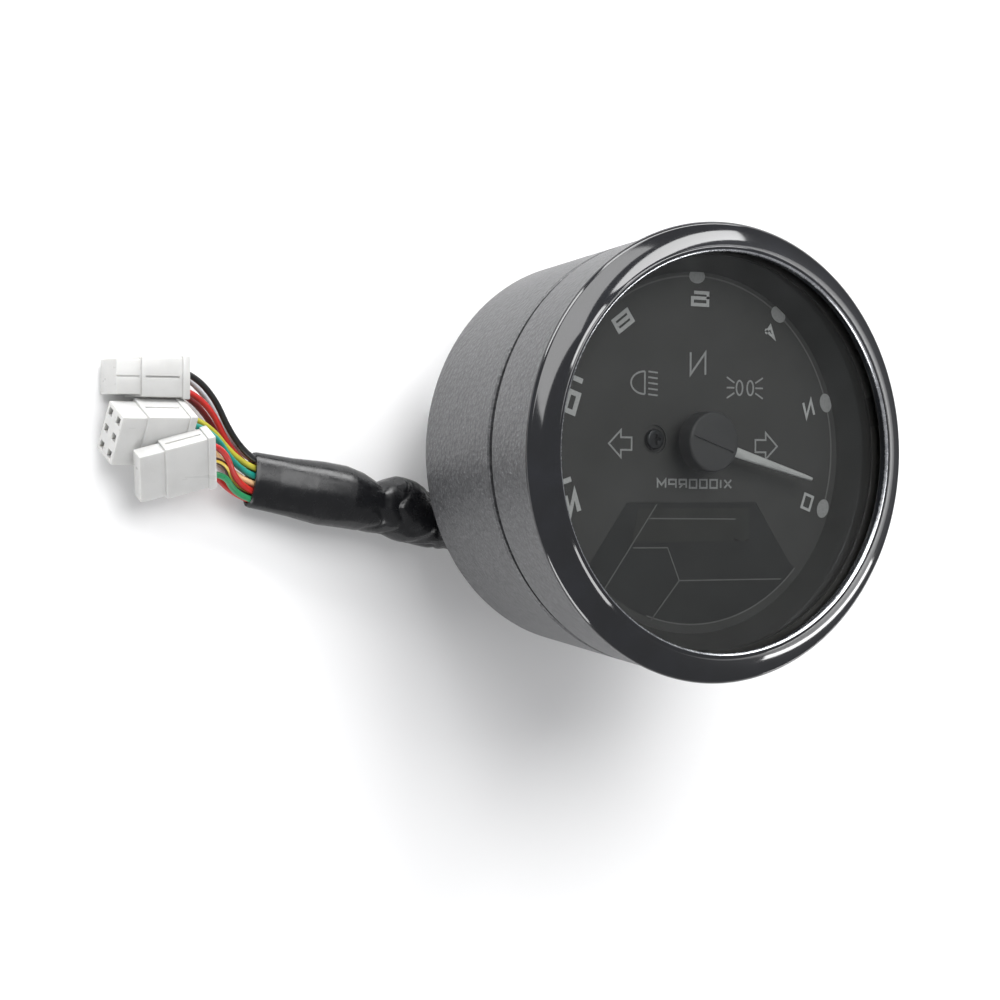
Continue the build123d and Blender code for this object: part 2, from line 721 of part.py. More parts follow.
def cavity_offsets(rows, columns):
    """Terminal positions across a connector: rows along Y, columns along Z."""
    return [
        ((i - (rows - 1) / 2) * PITCH, (j - (columns - 1) / 2) * PITCH)
        for i in range(rows)
        for j in range(columns)
    ]


# Each frame sits in its connector's middle: X towards the wires, Y across the rows, Z across the columns.
# A lies flat, B leans on A's side, and C lies flat on B, turned a little and reaching over B's edge.
# straight is the distance from the middle at which a lead starts to bend.
TWO_HIGH = PITCH + 2 * SHELL
ONE_HIGH = 2 * SHELL
place_a = Location((-89.3, 13.2, TWO_HIGH / 2 + 0.02))
place_b = Location((-90.0, 2.9, 5.95), (30, 0, 0))
place_c = place_b * Location((4.1, -3.6, (TWO_HIGH + ONE_HIGH) / 2 + 0.08), (0, 0, 17))
CONNECTORS = {
    "a": dict(rows=2, columns=2, frame=Plane(place_a), straight=11.0),
    "b": dict(rows=3, columns=2, frame=Plane(place_b), straight=11.0),
    "c": dict(rows=3, columns=1, frame=Plane(place_c), straight=9.5),
}
for key, spec in CONNECTORS.items():
    frame = spec["frame"]
    across = (spec["rows"] - 1) * PITCH + 2 * SHELL
    high = (spec["columns"] - 1) * PITCH + 2 * SHELL
    side = Plane(origin=frame.origin, x_dir=frame.y_dir, z_dir=frame.x_dir)
    cavities = cavity_offsets(spec["rows"], spec["columns"])
    spec["cavities"] = cavities
    with BuildPart() as shell:
        with BuildSketch(side.offset(-CONNECTOR_LENGTH / 2)):
            RectangleRounded(across - 0.9, high - 0.9, 0.4)
        extrude(amount=5.0)
        with BuildSketch(side.offset(-CONNECTOR_LENGTH / 2 + 5.0)):
            RectangleRounded(across, high, 0.5)
        extrude(amount=CONNECTOR_LENGTH - 5.0)
        with BuildSketch(side.offset(-CONNECTOR_LENGTH / 2)):
            with Locations(*cavities):
                Rectangle(HOLE, HOLE)
        extrude(amount=CONNECTOR_LENGTH, mode=Mode.SUBTRACT)
        # keying groove along one broad side
        with BuildSketch(side.offset(-CONNECTOR_LENGTH / 2)):
            with Locations((0, high / 2)):
                Rectangle(2.4, 1.0)
        extrude(amount=CONNECTOR_LENGTH - 4.0, mode=Mode.SUBTRACT)
    save(shell.part, f"connector_{key}")
    with BuildPart() as terminals:
        with BuildSketch(side.offset(-CONNECTOR_LENGTH / 2 + 1.5)):
            with Locations(*cavities):
                Rectangle(HOLE - 0.3, HOLE - 0.3)
        extrude(amount=9.0)
        with BuildSketch(side.offset(-CONNECTOR_LENGTH / 2 + 1.4)):
            with Locations(*cavities):
                Rectangle(HOLE - 0.9, HOLE - 0.9)
        extrude(amount=6.0, mode=Mode.SUBTRACT)
    save(terminals.part, f"terminals_{key}")

# ---------------------------------------------------------------- leads
# Each lead: colour, place across the sleeve's mouth (level, up), and the connector cavity it ends in.
LEADS = {
    "a": [("black", (3.6, 0.9), 3), ("grey", (3.6, -0.9), 2), ("maroon", (1.8, 0.9), 0), ("red", (1.7, 2.75), 1)],
    "b": [("olive", (1.8, -0.9), 2), ("teal", (0.0, 0.9), 5), ("white", (0.0, -0.9), 3),
          ("cream", (1.7, -2.75), 0), ("red", (0.0, -2.6), 1)],
    "c": [("red", (-0.2, 2.7), 2), ("brown", (-1.8, 0.9), 1), ("green", (-3.6, -0.9), 0)],
}
level = Vector(-sleeve_dir.Y, sleeve_dir.X, 0).normalized() * -1
rise = level.cross(sleeve_dir)


def in_sleeve(depth, across, lift=0.0):
    """A point inside the sleeve's mouth, the given depth from its rim."""
    return sleeve_route[3] - sleeve_dir * depth + level * across[0] + rise * (across[1] + lift)


for key, leads in LEADS.items():
    frame = CONNECTORS[key]["frame"]
    straight = CONNECTORS[key]["straight"]
    for colour, across, cavity in leads:
        y, z = CONNECTORS[key]["cavities"][cavity]
        route = [
            in_sleeve(SLEEVE_BORE_DEPTH, across),
            in_sleeve(8.0, across, 0.25),
            in_sleeve(-1.5, across),
            frame.from_local_coords(Vector(straight, y, z)),
            frame.from_local_coords(Vector(3.0, y, z)),
        ]
        save(tube(route, WIRE_D, f"lead_{key}_{colour}"), f"lead_{key}_{colour}")

print("pieces", len(os.listdir("parts")))
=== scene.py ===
import json
import math

import bmesh
import bpy
import numpy as np
from mathutils import Matrix, Vector, noise


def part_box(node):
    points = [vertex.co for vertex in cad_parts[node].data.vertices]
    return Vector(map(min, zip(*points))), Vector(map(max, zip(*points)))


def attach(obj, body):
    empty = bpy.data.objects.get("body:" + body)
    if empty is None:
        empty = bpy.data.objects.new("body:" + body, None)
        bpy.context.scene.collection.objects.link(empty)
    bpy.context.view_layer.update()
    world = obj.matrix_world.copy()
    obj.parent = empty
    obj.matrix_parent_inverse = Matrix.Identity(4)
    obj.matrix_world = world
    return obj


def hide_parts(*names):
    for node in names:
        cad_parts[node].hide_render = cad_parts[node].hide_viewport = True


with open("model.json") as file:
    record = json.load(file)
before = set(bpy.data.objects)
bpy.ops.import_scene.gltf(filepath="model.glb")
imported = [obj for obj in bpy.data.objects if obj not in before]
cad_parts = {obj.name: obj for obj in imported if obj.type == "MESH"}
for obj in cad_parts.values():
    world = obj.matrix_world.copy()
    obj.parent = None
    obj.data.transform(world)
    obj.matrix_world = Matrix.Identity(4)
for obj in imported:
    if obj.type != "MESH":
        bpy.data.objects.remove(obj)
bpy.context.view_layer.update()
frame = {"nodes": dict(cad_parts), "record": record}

# A round motorcycle gauge standing face up, its harness lying beside it.
# Lengths below are millimetres in the part's own frame; MM turns them into Blender's metres.
MM = 0.001
SCENE = bpy.context.scene


def low(node):
    """Lowest corner of a CAD node, in millimetres."""
    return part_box(node)[0] / MM


def high(node):
    """Highest corner of a CAD node, in millimetres."""
    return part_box(node)[1] / MM


# ---------------------------------------------------------------- camera
CAMERA_AT = Vector((-416.37, -5.53, 624.19))
CAMERA_AXES = ((0.8373, 0.0061, 0.5467), (-0.0024, 1.0, -0.0074), (-0.5467, 0.0049, 0.8373))
camera = bpy.data.objects.new("camera", bpy.data.cameras.new("camera"))
camera.data.sensor_width = 36.0
camera.data.lens = 136.95
camera.data.clip_start = 0.01
SCENE.collection.objects.link(camera)
turn = Matrix(CAMERA_AXES).transposed().to_quaternion().to_matrix()
camera.matrix_world = Matrix.Translation(CAMERA_AT * MM) @ turn.to_4x4()
SCENE.camera = camera
SCENE.view_settings.view_transform = "Standard"


# ---------------------------------------------------------------- materials
class Paint:
    """A material with one Principled shader and short calls for the nodes that vary it."""

    def __init__(self, name, colour, roughness=0.5, metallic=0.0, **sockets):
        self.material = bpy.data.materials.new(name)
        self.material.use_nodes = True
        self.tree = self.material.node_tree
        self.tree.nodes.clear()
        self.output = self.tree.nodes.new("ShaderNodeOutputMaterial")
        self.shader = self.tree.nodes.new("ShaderNodeBsdfPrincipled")
        self.tree.links.new(self.shader.outputs[0], self.output.inputs[0])
        self.colour = colour
        self.shader.inputs["Base Color"].default_value = (*colour, 1)
        self.shader.inputs["Roughness"].default_value = roughness
        self.shader.inputs["Metallic"].default_value = metallic
        for socket, value in sockets.items():
            self.shader.inputs[socket.replace("_", " ")].default_value = value
        self.place = self.tree.nodes.new("ShaderNodeTexCoord").outputs["Object"]
        self.height = None

    def link(self, source, target):
        self.tree.links.new(source, target)

    def node(self, kind, **settings):
        made = self.tree.nodes.new(kind)
        for key, value in settings.items():
            setattr(made, key, value)
        return made

    def math(self, operation, a, b=0.0):
        """One step of arithmetic on sockets or numbers."""
        made = self.node("ShaderNodeMath", operation=operation)
        for socket, value in zip(made.inputs, (a, b)):
            if isinstance(value, (int, float)):
                socket.default_value = value
            else:
                self.link(value, socket)
        return made.outputs[0]

    def stretched(self, x=1.0, y=1.0, z=1.0, source=None):
        """The surface's coordinates, scaled along each axis."""
        made = self.node("ShaderNodeMapping")
        made.inputs["Scale"].default_value = (x, y, z)
        self.link(source or self.place, made.inputs["Vector"])
        return made.outputs[0]

    def noise(self, size, detail=4.0, roughness=0.55, source=None):
        """Noise whose features are about size millimetres across."""
        made = self.node("ShaderNodeTexNoise")
        made.inputs["Scale"].default_value = 1 / (size * MM)
        made.inputs["Detail"].default_value = detail
        made.inputs["Roughness"].default_value = roughness
        self.link(source or self.place, made.inputs["Vector"])
        return made.outputs["Fac"]

    def grains(self, size, source=None):
        """Distance to the nearest of many scattered points about size millimetres apart."""
        made = self.node("ShaderNodeTexVoronoi")
        made.inputs["Scale"].default_value = 1 / (size * MM)
        self.link(source or self.place, made.inputs["Vector"])
        return made.outputs["Distance"]

    def remap(self, source, start, end, low_value, high_value):
        """source taken from the span start..end to low_value..high_value, and held there."""
        made = self.node("ShaderNodeMapRange")
        made.inputs["From Min"].default_value = start
        made.inputs["From Max"].default_value = end
        made.inputs["To Min"].default_value = low_value
        made.inputs["To Max"].default_value = high_value
        self.link(source, made.inputs["Value"])
        return made.outputs["Result"]

    def mix_in(self, share, colour):
        """Lay another colour over the base colour where share is high."""
        made = self.node("ShaderNodeMix", data_type="RGBA")
        made.inputs[7].default_value = (*colour, 1)
        base = self.shader.inputs["Base Color"]
        if base.is_linked:
            self.link(base.links[0].from_socket, made.inputs[6])
        else:
            made.inputs[6].default_value = (*self.colour, 1)
        self.link(share, made.inputs[0])
        self.link(made.outputs[2], base)
        return self

    def patches(self, colour, share, start, end, *noise_settings):
        """Lay a colour over the base colour in patches of noise, up to the given share."""
        return self.mix_in(self.remap(self.noise(*noise_settings), start, end, 0.0, share), colour)

    def rough(self, source, low_value, high_value):
        """Roughness that follows a noise between two values."""
        self.link(self.remap(source, 0.3, 0.7, low_value, high_value), self.shader.inputs["Roughness"])
        return self

    def bump(self, height, depth, strength=1.0):
        """Relief of the given depth in millimetres; several calls add up."""
        made = self.node("ShaderNodeBump")
        made.inputs["Distance"].default_value = depth * MM
        made.inputs["Strength"].default_value = strength
        self.link(height, made.inputs["Height"])
        if self.height:
            self.link(self.height, made.inputs["Normal"])
        self.height = made.outputs[0]
        self.link(self.height, self.shader.inputs["Normal"])
        return self

    def radius_and_height(self):
        """Coordinates that run across a turned piece: radius from the gauge's axis, and height."""
        split = self.node("ShaderNodeSeparateXYZ")
        self.link(self.place, split.inputs[0])
        x, y, z = split.outputs
        radius = self.math("SQRT", self.math("ADD", self.math("MULTIPLY", x, x), self.math("MULTIPLY", y, y)))
        joined = self.node("ShaderNodeCombineXYZ")
        self.link(radius, joined.inputs[0])
        self.link(z, joined.inputs[2])
        return joined.outputs[0]


def moulded(name, colour, roughness=0.5, grain=0.5, depth=0.02, **sockets):
    """Plastic from a textured tool: fine grain, slow changes of tone, rubbed patches."""
    paint = Paint(name, colour, roughness, **sockets)
    dark = tuple(c * 0.72 for c in colour)
    pale = tuple(min(1.0, c * 1.25 + 0.006) for c in colour)
    paint.patches(dark, 0.8, 0.42, 0.7, 9.0)
    paint.patches(pale, 0.6, 0.58, 0.8, 0.9, 5.0, 0.7)
    paint.rough(paint.noise(3.0, 5.0), max(0.03, roughness - 0.08), min(1.0, roughness + 0.1))
    paint.bump(paint.noise(grain, 3.0), depth)
    return paint


def case_texture():
    """Dark grey spark-eroded case plastic: pebbled grain, with pale specks painted in as glints of light on
    the grain.
    """
    paint = Paint("case_plastic", (0.070, 0.071, 0.074), 0.45, IOR=1.6)
    fine = paint.noise(0.42, 4.0, 0.75)
    pebbles = paint.grains(0.85)
    paint.patches((0.052, 0.053, 0.056), 0.5, 0.35, 0.7, 16.0, 2.0)
    paint.mix_in(paint.remap(pebbles, 0.2, 0.8, 0.0, 0.75), (0.028, 0.029, 0.031))
    # pale specks: painted glints of light on the pebbled grain
    paint.mix_in(paint.remap(fine, 0.54, 0.70, 0.0, 0.8), (0.22, 0.222, 0.230))
    paint.patches((0.19, 0.188, 0.182), 0.35, 0.60, 0.76, 5.0, 6.0, 0.75)
    paint.rough(fine, 0.32, 0.52)
    paint.bump(pebbles, 0.12, 0.7)
    paint.bump(fine, 0.08, 0.6)
    return paint.material


def black_chrome():
    """Black plating with the faint rings of turning under it."""
    paint = Paint("black_chrome", (0.006, 0.0065, 0.008), 0.08, IOR=1.62)
    across = paint.radius_and_height()
    rings = paint.noise(0.12, 2.0, 0.6, source=across)
    paint.patches((0.011, 0.012, 0.016), 0.6, 0.45, 0.75, 7.0, 3.0)
    paint.rough(paint.noise(2.0, 6.0, 0.7), 0.06, 0.11)
    paint.bump(rings, 0.004, 0.25)
    paint.bump(paint.noise(14.0, 1.0), 0.05, 0.12)
    return paint.material


def cut_edge_and_highlight():
    """Bright metal on the bezel's lip and rim edges: partly the cut edge of the plating, partly a painted
    highlight for the thin bright lines these edges show.
    """
    paint = Paint("cut_edge_and_highlight", (0.56, 0.57, 0.59), 0.22, 1.0)
    across = paint.radius_and_height()
    paint.patches((0.30, 0.31, 0.33), 0.8, 0.45, 0.75, 2.5, 5.0)
    paint.rough(paint.noise(0.8, 4.0), 0.16, 0.34)
    paint.bump(paint.noise(0.08, 2.0, source=across), 0.006, 0.4)
    return paint.material


def clear_lens():
    """Clear sheet: what is behind shows through, and the surface mirrors a little more at a slant."""
    paint = Paint("lens_clear", (0.9, 0.92, 0.93), 0.04, 1.0)
    hazy = paint.noise(11.0, 3.0)
    paint.rough(hazy, 0.025, 0.07)
    paint.bump(paint.noise(22.0, 1.0), 0.02, 0.08)
    paint.patches((0.75, 0.77, 0.78), 0.4, 0.62, 0.8, 1.2, 6.0, 0.8)
    through = paint.node("ShaderNodeBsdfTransparent")
    through.inputs[0].default_value = (0.93, 0.94, 0.94, 1)
    slant = paint.node("ShaderNodeFresnel")
    slant.inputs["IOR"].default_value = 1.28
    film = paint.math("ADD", slant.outputs[0], paint.remap(hazy, 0.35, 0.75, 0.0, 0.012))
    mixed = paint.node("ShaderNodeMixShader")
    paint.link(film, mixed.inputs[0])
    paint.link(through.outputs[0], mixed.inputs[1])
    paint.link(paint.shader.outputs[0], mixed.inputs[2])
    paint.link(mixed.outputs[0], paint.output.inputs[0])
    return paint.material


def smoked_window():
    """Dark smoked film over the display."""
    paint = Paint("smoked_window", (0.016, 0.0155, 0.0145), 0.3, IOR=1.4)
    paint.patches((0.023, 0.022, 0.020), 0.7, 0.4, 0.7, 12.0, 2.0)
    paint.rough(paint.noise(4.0, 4.0), 0.40, 0.52)
    paint.bump(paint.noise(6.0, 2.0), 0.01, 0.2)
    return paint.material


def display_cell():
    """The display's own cell, a little browner and paler than the film round it."""
    paint = Paint("display_cell", (0.026, 0.025, 0.022), 0.34, IOR=1.4)
    paint.patches((0.032, 0.030, 0.026), 0.7, 0.4, 0.7, 9.0, 2.0)
    paint.patches((0.040, 0.038, 0.034), 0.5, 0.6, 0.8, 0.6, 5.0, 0.75)
    paint.rough(paint.noise(3.0, 4.0), 0.26, 0.4)
    paint.bump(paint.noise(0.5, 2.0), 0.004, 0.3)
    return paint.material


def inner_wall():
    """Smooth satin black ring between the dial and the lens, with the faint rings of its tool."""
    paint = Paint("trim_black", (0.042, 0.040, 0.0375), 0.42, IOR=1.4)
    paint.patches((0.050, 0.0475, 0.044), 0.6, 0.4, 0.7, 20.0, 1.0)
    paint.rough(paint.noise(9.0, 2.0), 0.28, 0.4)
    paint.bump(paint.noise(0.3, 2.0, source=paint.radius_and_height()), 0.003, 0.2)
    return paint.material


def dial_black():
    """Screen-printed warm black sheet with the mesh of the print and a little dust."""
    paint = Paint("dial_print", (0.039, 0.037, 0.0345), 0.55, IOR=1.45)
    weave = paint.math("MULTIPLY", paint.noise(0.22, 1.0, source=paint.stretched(1, 0.15, 1)),
                       paint.noise(0.22, 1.0, source=paint.stretched(0.15, 1, 1)))
    paint.patches((0.048, 0.0455, 0.042), 0.6, 0.35, 0.7, 18.0, 2.0)
    paint.patches((0.12, 0.118, 0.11), 0.35, 0.66, 0.84, 0.5, 6.0, 0.8)
    paint.rough(paint.noise(1.5, 5.0), 0.46, 0.62)
    paint.bump(weave, 0.012, 0.5)
    return paint.material


def dial_ink(name, colour):
    """Printed ink: slightly uneven cover and a fine edge of grain."""
    paint = Paint(name, colour, 0.6)
    dark = tuple(c * 0.55 for c in colour)
    paint.patches(dark, 0.75, 0.48, 0.75, 0.35, 4.0, 0.75)
    paint.rough(paint.noise(0.8, 3.0), 0.5, 0.7)
    paint.bump(paint.noise(0.12, 2.0), 0.006, 0.5)
    return paint.material


def nylon():
    """Natural nylon: milky, lets light in a little way, with flow marks and fine sink."""
    paint = Paint("connector_nylon", (0.52, 0.52, 0.51), 0.38, IOR=1.53, Subsurface_Weight=0.35,
                  Subsurface_Radius=(1.0, 0.95, 0.85), Subsurface_Scale=0.0012, Coat_Weight=0.08)
    paint.patches((0.45, 0.45, 0.44), 0.6, 0.4, 0.7, 5.0, 3.0)
    paint.patches((0.60, 0.60, 0.59), 0.4, 0.6, 0.82, 0.7, 5.0, 0.7)
    flow = paint.noise(2.0, 2.0, source=paint.stretched(0.2, 1.0, 1.0))
    paint.rough(flow, 0.26, 0.42)
    paint.bump(flow, 0.03, 0.3)
    paint.bump(paint.noise(0.3, 3.0), 0.008, 0.5)
    return paint.material


def sleeve_vinyl():
    """Thin glossy black vinyl, shrunk over the leads, finely puckered."""
    paint = Paint("sleeve_black", (0.0042, 0.0044, 0.0052), 0.26, IOR=1.46)
    pucker = paint.noise(1.4, 5.0, 0.6, source=paint.stretched(0.55, 1.0, 1.0))
    paint.patches((0.010, 0.0105, 0.012), 0.5, 0.58, 0.8, 2.2, 5.0, 0.7)
    paint.rough(paint.noise(2.5, 5.0), 0.16, 0.34)
    paint.bump(pucker, 0.10, 0.2)
    paint.bump(paint.noise(0.25, 3.0), 0.01, 0.5)
    return paint.material


def insulation(colour_name, colour, tracer=None):
    """Extruded lead insulation: gloss, fine lengthwise lines, scuffs, and a tracer line if it has one."""
    paint = Paint(f"lead_{colour_name}", colour, 0.34, IOR=1.5, Coat_Weight=0.1)
    around = paint.node("ShaderNodeUVMap", uv_map="around").outputs[0]
    dark = tuple(c * 0.6 for c in colour)
    pale = tuple(min(1.0, c * 1.2 + 0.02) for c in colour)
    lines = paint.noise(1000.0 / 60, 2.0, source=paint.stretched(0.15, 1.0, 1.0, around))
    paint.patches(dark, 0.6, 0.45, 0.75, 2.4, 4.0)
    paint.patches(pale, 0.5, 0.62, 0.82, 0.5, 6.0, 0.8)
    if tracer:
        split = paint.node("ShaderNodeSeparateXYZ")
        paint.link(around, split.inputs[0])
        off = paint.math("ABSOLUTE", paint.math("SUBTRACT", split.outputs[1], 0.3))
        paint.mix_in(paint.math("LESS_THAN", off, 0.07), tracer)
    paint.rough(paint.noise(1.2, 4.0), 0.26, 0.44)
    paint.bump(lines, 0.01, 0.5)
    paint.bump(paint.noise(0.4, 3.0), 0.012, 0.4)
    return paint.material


def metal(name, colour, roughness=0.32, turned=False, tarnish=0.5):
    """Plated or turned metal: cloudy plating, fine scratches and dull spots."""
    paint = Paint(name, colour, roughness, 1.0)
    dull = tuple(c * tarnish for c in colour)
    scratches = paint.noise(0.25, 3.0, 0.7, source=paint.stretched(1.0, 0.12, 1.0))
    if turned:
        scratches = paint.noise(0.12, 2.0, source=paint.stretched(1.0, 1.0, 9.0))
    paint.patches(dull, 0.8, 0.48, 0.75, 2.6, 5.0, 0.7)
    paint.rough(paint.noise(1.1, 5.0, 0.7), max(0.05, roughness - 0.1), roughness + 0.16)
    paint.bump(scratches, 0.012, 0.4)
    return paint.material


def rubber(name, colour, roughness=0.62):
    """Moulded rubber with a dry bloom and a fine skin."""
    paint = Paint(name, colour, roughness, IOR=1.45, Sheen_Weight=0.12)
    bloom = tuple(c * 2.2 + 0.01 for c in colour)
    paint.patches(bloom, 0.6, 0.48, 0.8, 3.5, 5.0)
    paint.rough(paint.noise(1.6, 4.0), roughness - 0.1, min(1.0, roughness + 0.15))
    paint.bump(paint.noise(0.28, 4.0, 0.7), 0.02, 0.6)
    return paint.material


def board():
    """Solder mask over a woven board: green with a faint weave and track-like patches."""
    paint = Paint("board_green", (0.010, 0.085, 0.032), 0.35, Coat_Weight=0.4)
    weave = paint.math("MULTIPLY", paint.noise(0.3, 1.0, source=paint.stretched(1, 0.1, 1)),
                       paint.noise(0.3, 1.0, source=paint.stretched(0.1, 1, 1)))
    tracks = paint.noise(2.2, 0.0, source=paint.stretched(1.0, 0.35, 1.0))
    paint.mix_in(paint.remap(tracks, 0.5, 0.53, 0.0, 0.7), (0.014, 0.13, 0.045))
    paint.rough(paint.noise(2.0), 0.28, 0.44)
    paint.bump(tracks, 0.04, 0.5)
    paint.bump(weave, 0.02, 0.4)
    return paint.material


def floor_paint():
    """Plain pale studio floor."""
    paint = Paint("floor", (0.86, 0.86, 0.86), 0.7)
    paint.patches((0.84, 0.84, 0.845), 0.3, 0.4, 0.7, 60.0, 4.0)
    paint.rough(paint.noise(30.0), 0.62, 0.78)
    return paint.material


LEAD_COLOURS = {
    "black": (0.010, 0.010, 0.011), "grey": (0.50, 0.51, 0.53), "maroon": (0.19, 0.016, 0.018),
    "red": (0.48, 0.022, 0.018), "olive": (0.40, 0.37, 0.035), "teal": (0.012, 0.24, 0.19),
    "white": (0.68, 0.69, 0.70), "cream": (0.72, 0.46, 0.24),
    "green": (0.02, 0.23, 0.09), "brown": (0.06, 0.022, 0.014),
}
MATERIALS = {
    "case_plastic": case_texture(),
    "black_chrome": black_chrome(),
    "lens_clear": clear_lens(),
    "trim_black": inner_wall(),
    "dial_print": dial_black(),
    "board_green": board(),
    "sleeve_black": sleeve_vinyl(),
    "connector_nylon": nylon(),
}
# colour, roughness, size and depth of the grain
MOULDED = {
    "pointer_white": ((0.50, 0.495, 0.48), 0.42, 0.2, 0.006),
    "hub_black": ((0.046, 0.044, 0.044), 0.5, 0.3, 0.015),
    "white_plastic": ((0.74, 0.74, 0.71), 0.5, 0.4, 0.012),
    "display_glass": ((0.085, 0.082, 0.070), 0.16, 1.5, 0.004),
    "light_guide": ((0.62, 0.65, 0.66), 0.14, 1.2, 0.004),
    "contact_strip": ((0.52, 0.22, 0.22), 0.6, 0.2, 0.02),
    "lamp_lens": ((0.74, 0.66, 0.22), 0.3, 0.4, 0.01),
    "chip_black": ((0.014, 0.014, 0.014), 0.55, 0.2, 0.01),
    "motor_black": ((0.022, 0.022, 0.023), 0.45, 0.4, 0.015),
}
MOULDED_SOCKETS = {
    "hub_black": {"IOR": 1.45},
    "light_guide": {"Transmission_Weight": 0.6},
    "lamp_lens": {"Coat_Weight": 0.5},
}
# colour, roughness, whether it is turned, and how much darker its dull spots are
METALS = {
    "can_aluminium": ((0.70, 0.71, 0.72), 0.28),
    "coil_copper": ((0.72, 0.30, 0.12), 0.35, True, 0.6),
    "pin_brass": ((0.74, 0.62, 0.34), 0.3),
    "terminal_brass": ((0.42, 0.38, 0.28), 0.42, False, 0.35),
    "zinc_steel": ((0.56, 0.57, 0.58), 0.34),
    "shaft_steel": ((0.60, 0.61, 0.62), 0.2, True),
}
RUBBERS = {
    "seal_rubber": ((0.008, 0.008, 0.008), 0.7),
    "gland_rubber": ((0.014, 0.014, 0.015), 0.55),
    "button_rubber": ((0.018, 0.018, 0.019), 0.6),
}
for name, settings in MOULDED.items():
    MATERIALS[name] = moulded(name, *settings, **MOULDED_SOCKETS.get(name, {})).material
for name, settings in METALS.items():
    MATERIALS[name] = metal(name, *settings)
for name, settings in RUBBERS.items():
    MATERIALS[name] = rubber(name, *settings)
for colour_name, colour in LEAD_COLOURS.items():
    tracer = (0.75, 0.55, 0.06) if colour_name == "brown" else None
    MATERIALS[f"lead_{colour_name}"] = insulation(colour_name, colour, tracer)
CUT_EDGE_AND_HIGHLIGHT = cut_edge_and_highlight()
SMOKED_WINDOW = smoked_window()
DISPLAY_CELL = display_cell()
INK = dial_ink("ink_pale", (0.44, 0.435, 0.425))
INK_DIM = dial_ink("ink_dim", (0.30, 0.297, 0.29))
INK_FAINT = dial_ink("ink_faint", (0.115, 0.112, 0.106))
DARK_SCREW = metal("dial_screw_black", (0.05, 0.05, 0.052), 0.4)

for entry in frame["record"]["subparts"]:
    node = frame["nodes"][entry["node"]]
    paint = MATERIALS[entry["material_slot"]]
    if not node.data.materials:
        node.data.materials.append(paint)
    for spot in node.material_slots:
        spot.material = paint
frame["nodes"]["dial_screw"].material_slots[0].material = DARK_SCREW


# ---------------------------------------------------------------- mesh helpers
def adopted(name, mesh, materials, body="case", replaces=(), sharp=35.0, face_slots=None):
    """An object from a mesh in metres, with its materials, smooth shading, body and CAD nodes."""
    mesh.materials.clear()
    for material in materials:
        mesh.materials.append(material)
    if face_slots:
        mesh.polygons.foreach_set("material_index", face_slots)
    mesh.update()
    mesh.polygons.foreach_set("use_smooth", [True] * len(mesh.polygons))
    mesh.set_sharp_from_angle(angle=math.radians(sharp))
    made = bpy.data.objects.new(name, mesh)
    SCENE.collection.objects.link(made)
    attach(made, body)
    if replaces:
        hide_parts(*replaces)
    return made


def bands(base, rings, count, outward=True):
    """Quads that join rings of count points each, the first of them starting at base."""
    faces = []
    for ring in range(rings - 1):
        a = base + ring * count
        b = a + count
        for k in range(count):
            j = (k + 1) % count
            faces.append((a + k, a + j, b + j, b + k) if outward else (a + k, b + k, b + j, a + j))
    return faces


def ring_at(centre, radius, z, count, start=0.0):
    """Points of a level circle, the first at an angle in degrees."""
    turns = [math.radians(start) + 2 * math.pi * k / count for k in range(count)]
    return [(centre[0] + radius * math.cos(a), centre[1] + radius * math.sin(a), z) for a in turns]


def piece(name, points, faces, materials, slot, body="case", replaces=(), sharp=35.0, face_slots=None):
    """A mesh piece from points in millimetres; it rides on a body and stands for CAD nodes."""
    mesh = bpy.data.meshes.new(name)
    mesh.from_pydata([Vector(p) * MM for p in points], [], faces)
    return adopted(name, mesh, materials, body, replaces, sharp, face_slots)


def softened(outline, radius, steps=3):
    """A closed outline of (a, b) corners with each corner rounded."""
    result = []
    count = len(outline)
    for i in range(count):
        before, at, after = (Vector(outline[(i + k) % count]) for k in (-1, 0, 1))
        reach = min(radius, 0.4 * (before - at).length, 0.4 * (after - at).length)
        a = at + (before - at).normalized() * reach
        b = at + (after - at).normalized() * reach
        for k in range(steps + 1):
            t = k / steps
            result.append(tuple(a * (1 - t) ** 2 + at * 2 * t * (1 - t) + b * t ** 2))
    return result


def revolved(outline_at, segments, centre=(0.0, 0.0), base=0):
    """Points and faces of a closed outline of (radius, height), which may vary with the angle."""
    points = []
    for s in range(segments):
        a = 2 * math.pi * s / segments
        outline = outline_at(a)
        points += [(centre[0] + r * math.cos(a), centre[1] + r * math.sin(a), z) for r, z in outline]
    count = len(outline)
    faces = []
    for s in range(segments):
        here, there = base + s * count, base + (s + 1) % segments * count
        for i in range(count):
            j = (i + 1) % count
            faces.append((here + i, here + j, there + j, there + i))
    return points, faces


def lathe(name, outline, materials, slot, segments=256, edge_slots=None, **ride):
    """A piece of revolution about a vertical axis from a closed outline of (radius, height)."""
    points, faces = revolved(lambda a: outline, segments)
    slots = edge_slots * segments if edge_slots else None
    return piece(name, points, faces, materials, slot, face_slots=slots, **ride)


def arc(centre, radius, start, end, steps):
    """Points along a circle between two angles in degrees."""
    angles = [math.radians(start + (end - start) * k / steps) for k in range(steps + 1)]
    return [(centre[0] + radius * math.cos(a), centre[1] + radius * math.sin(a)) for a in angles]


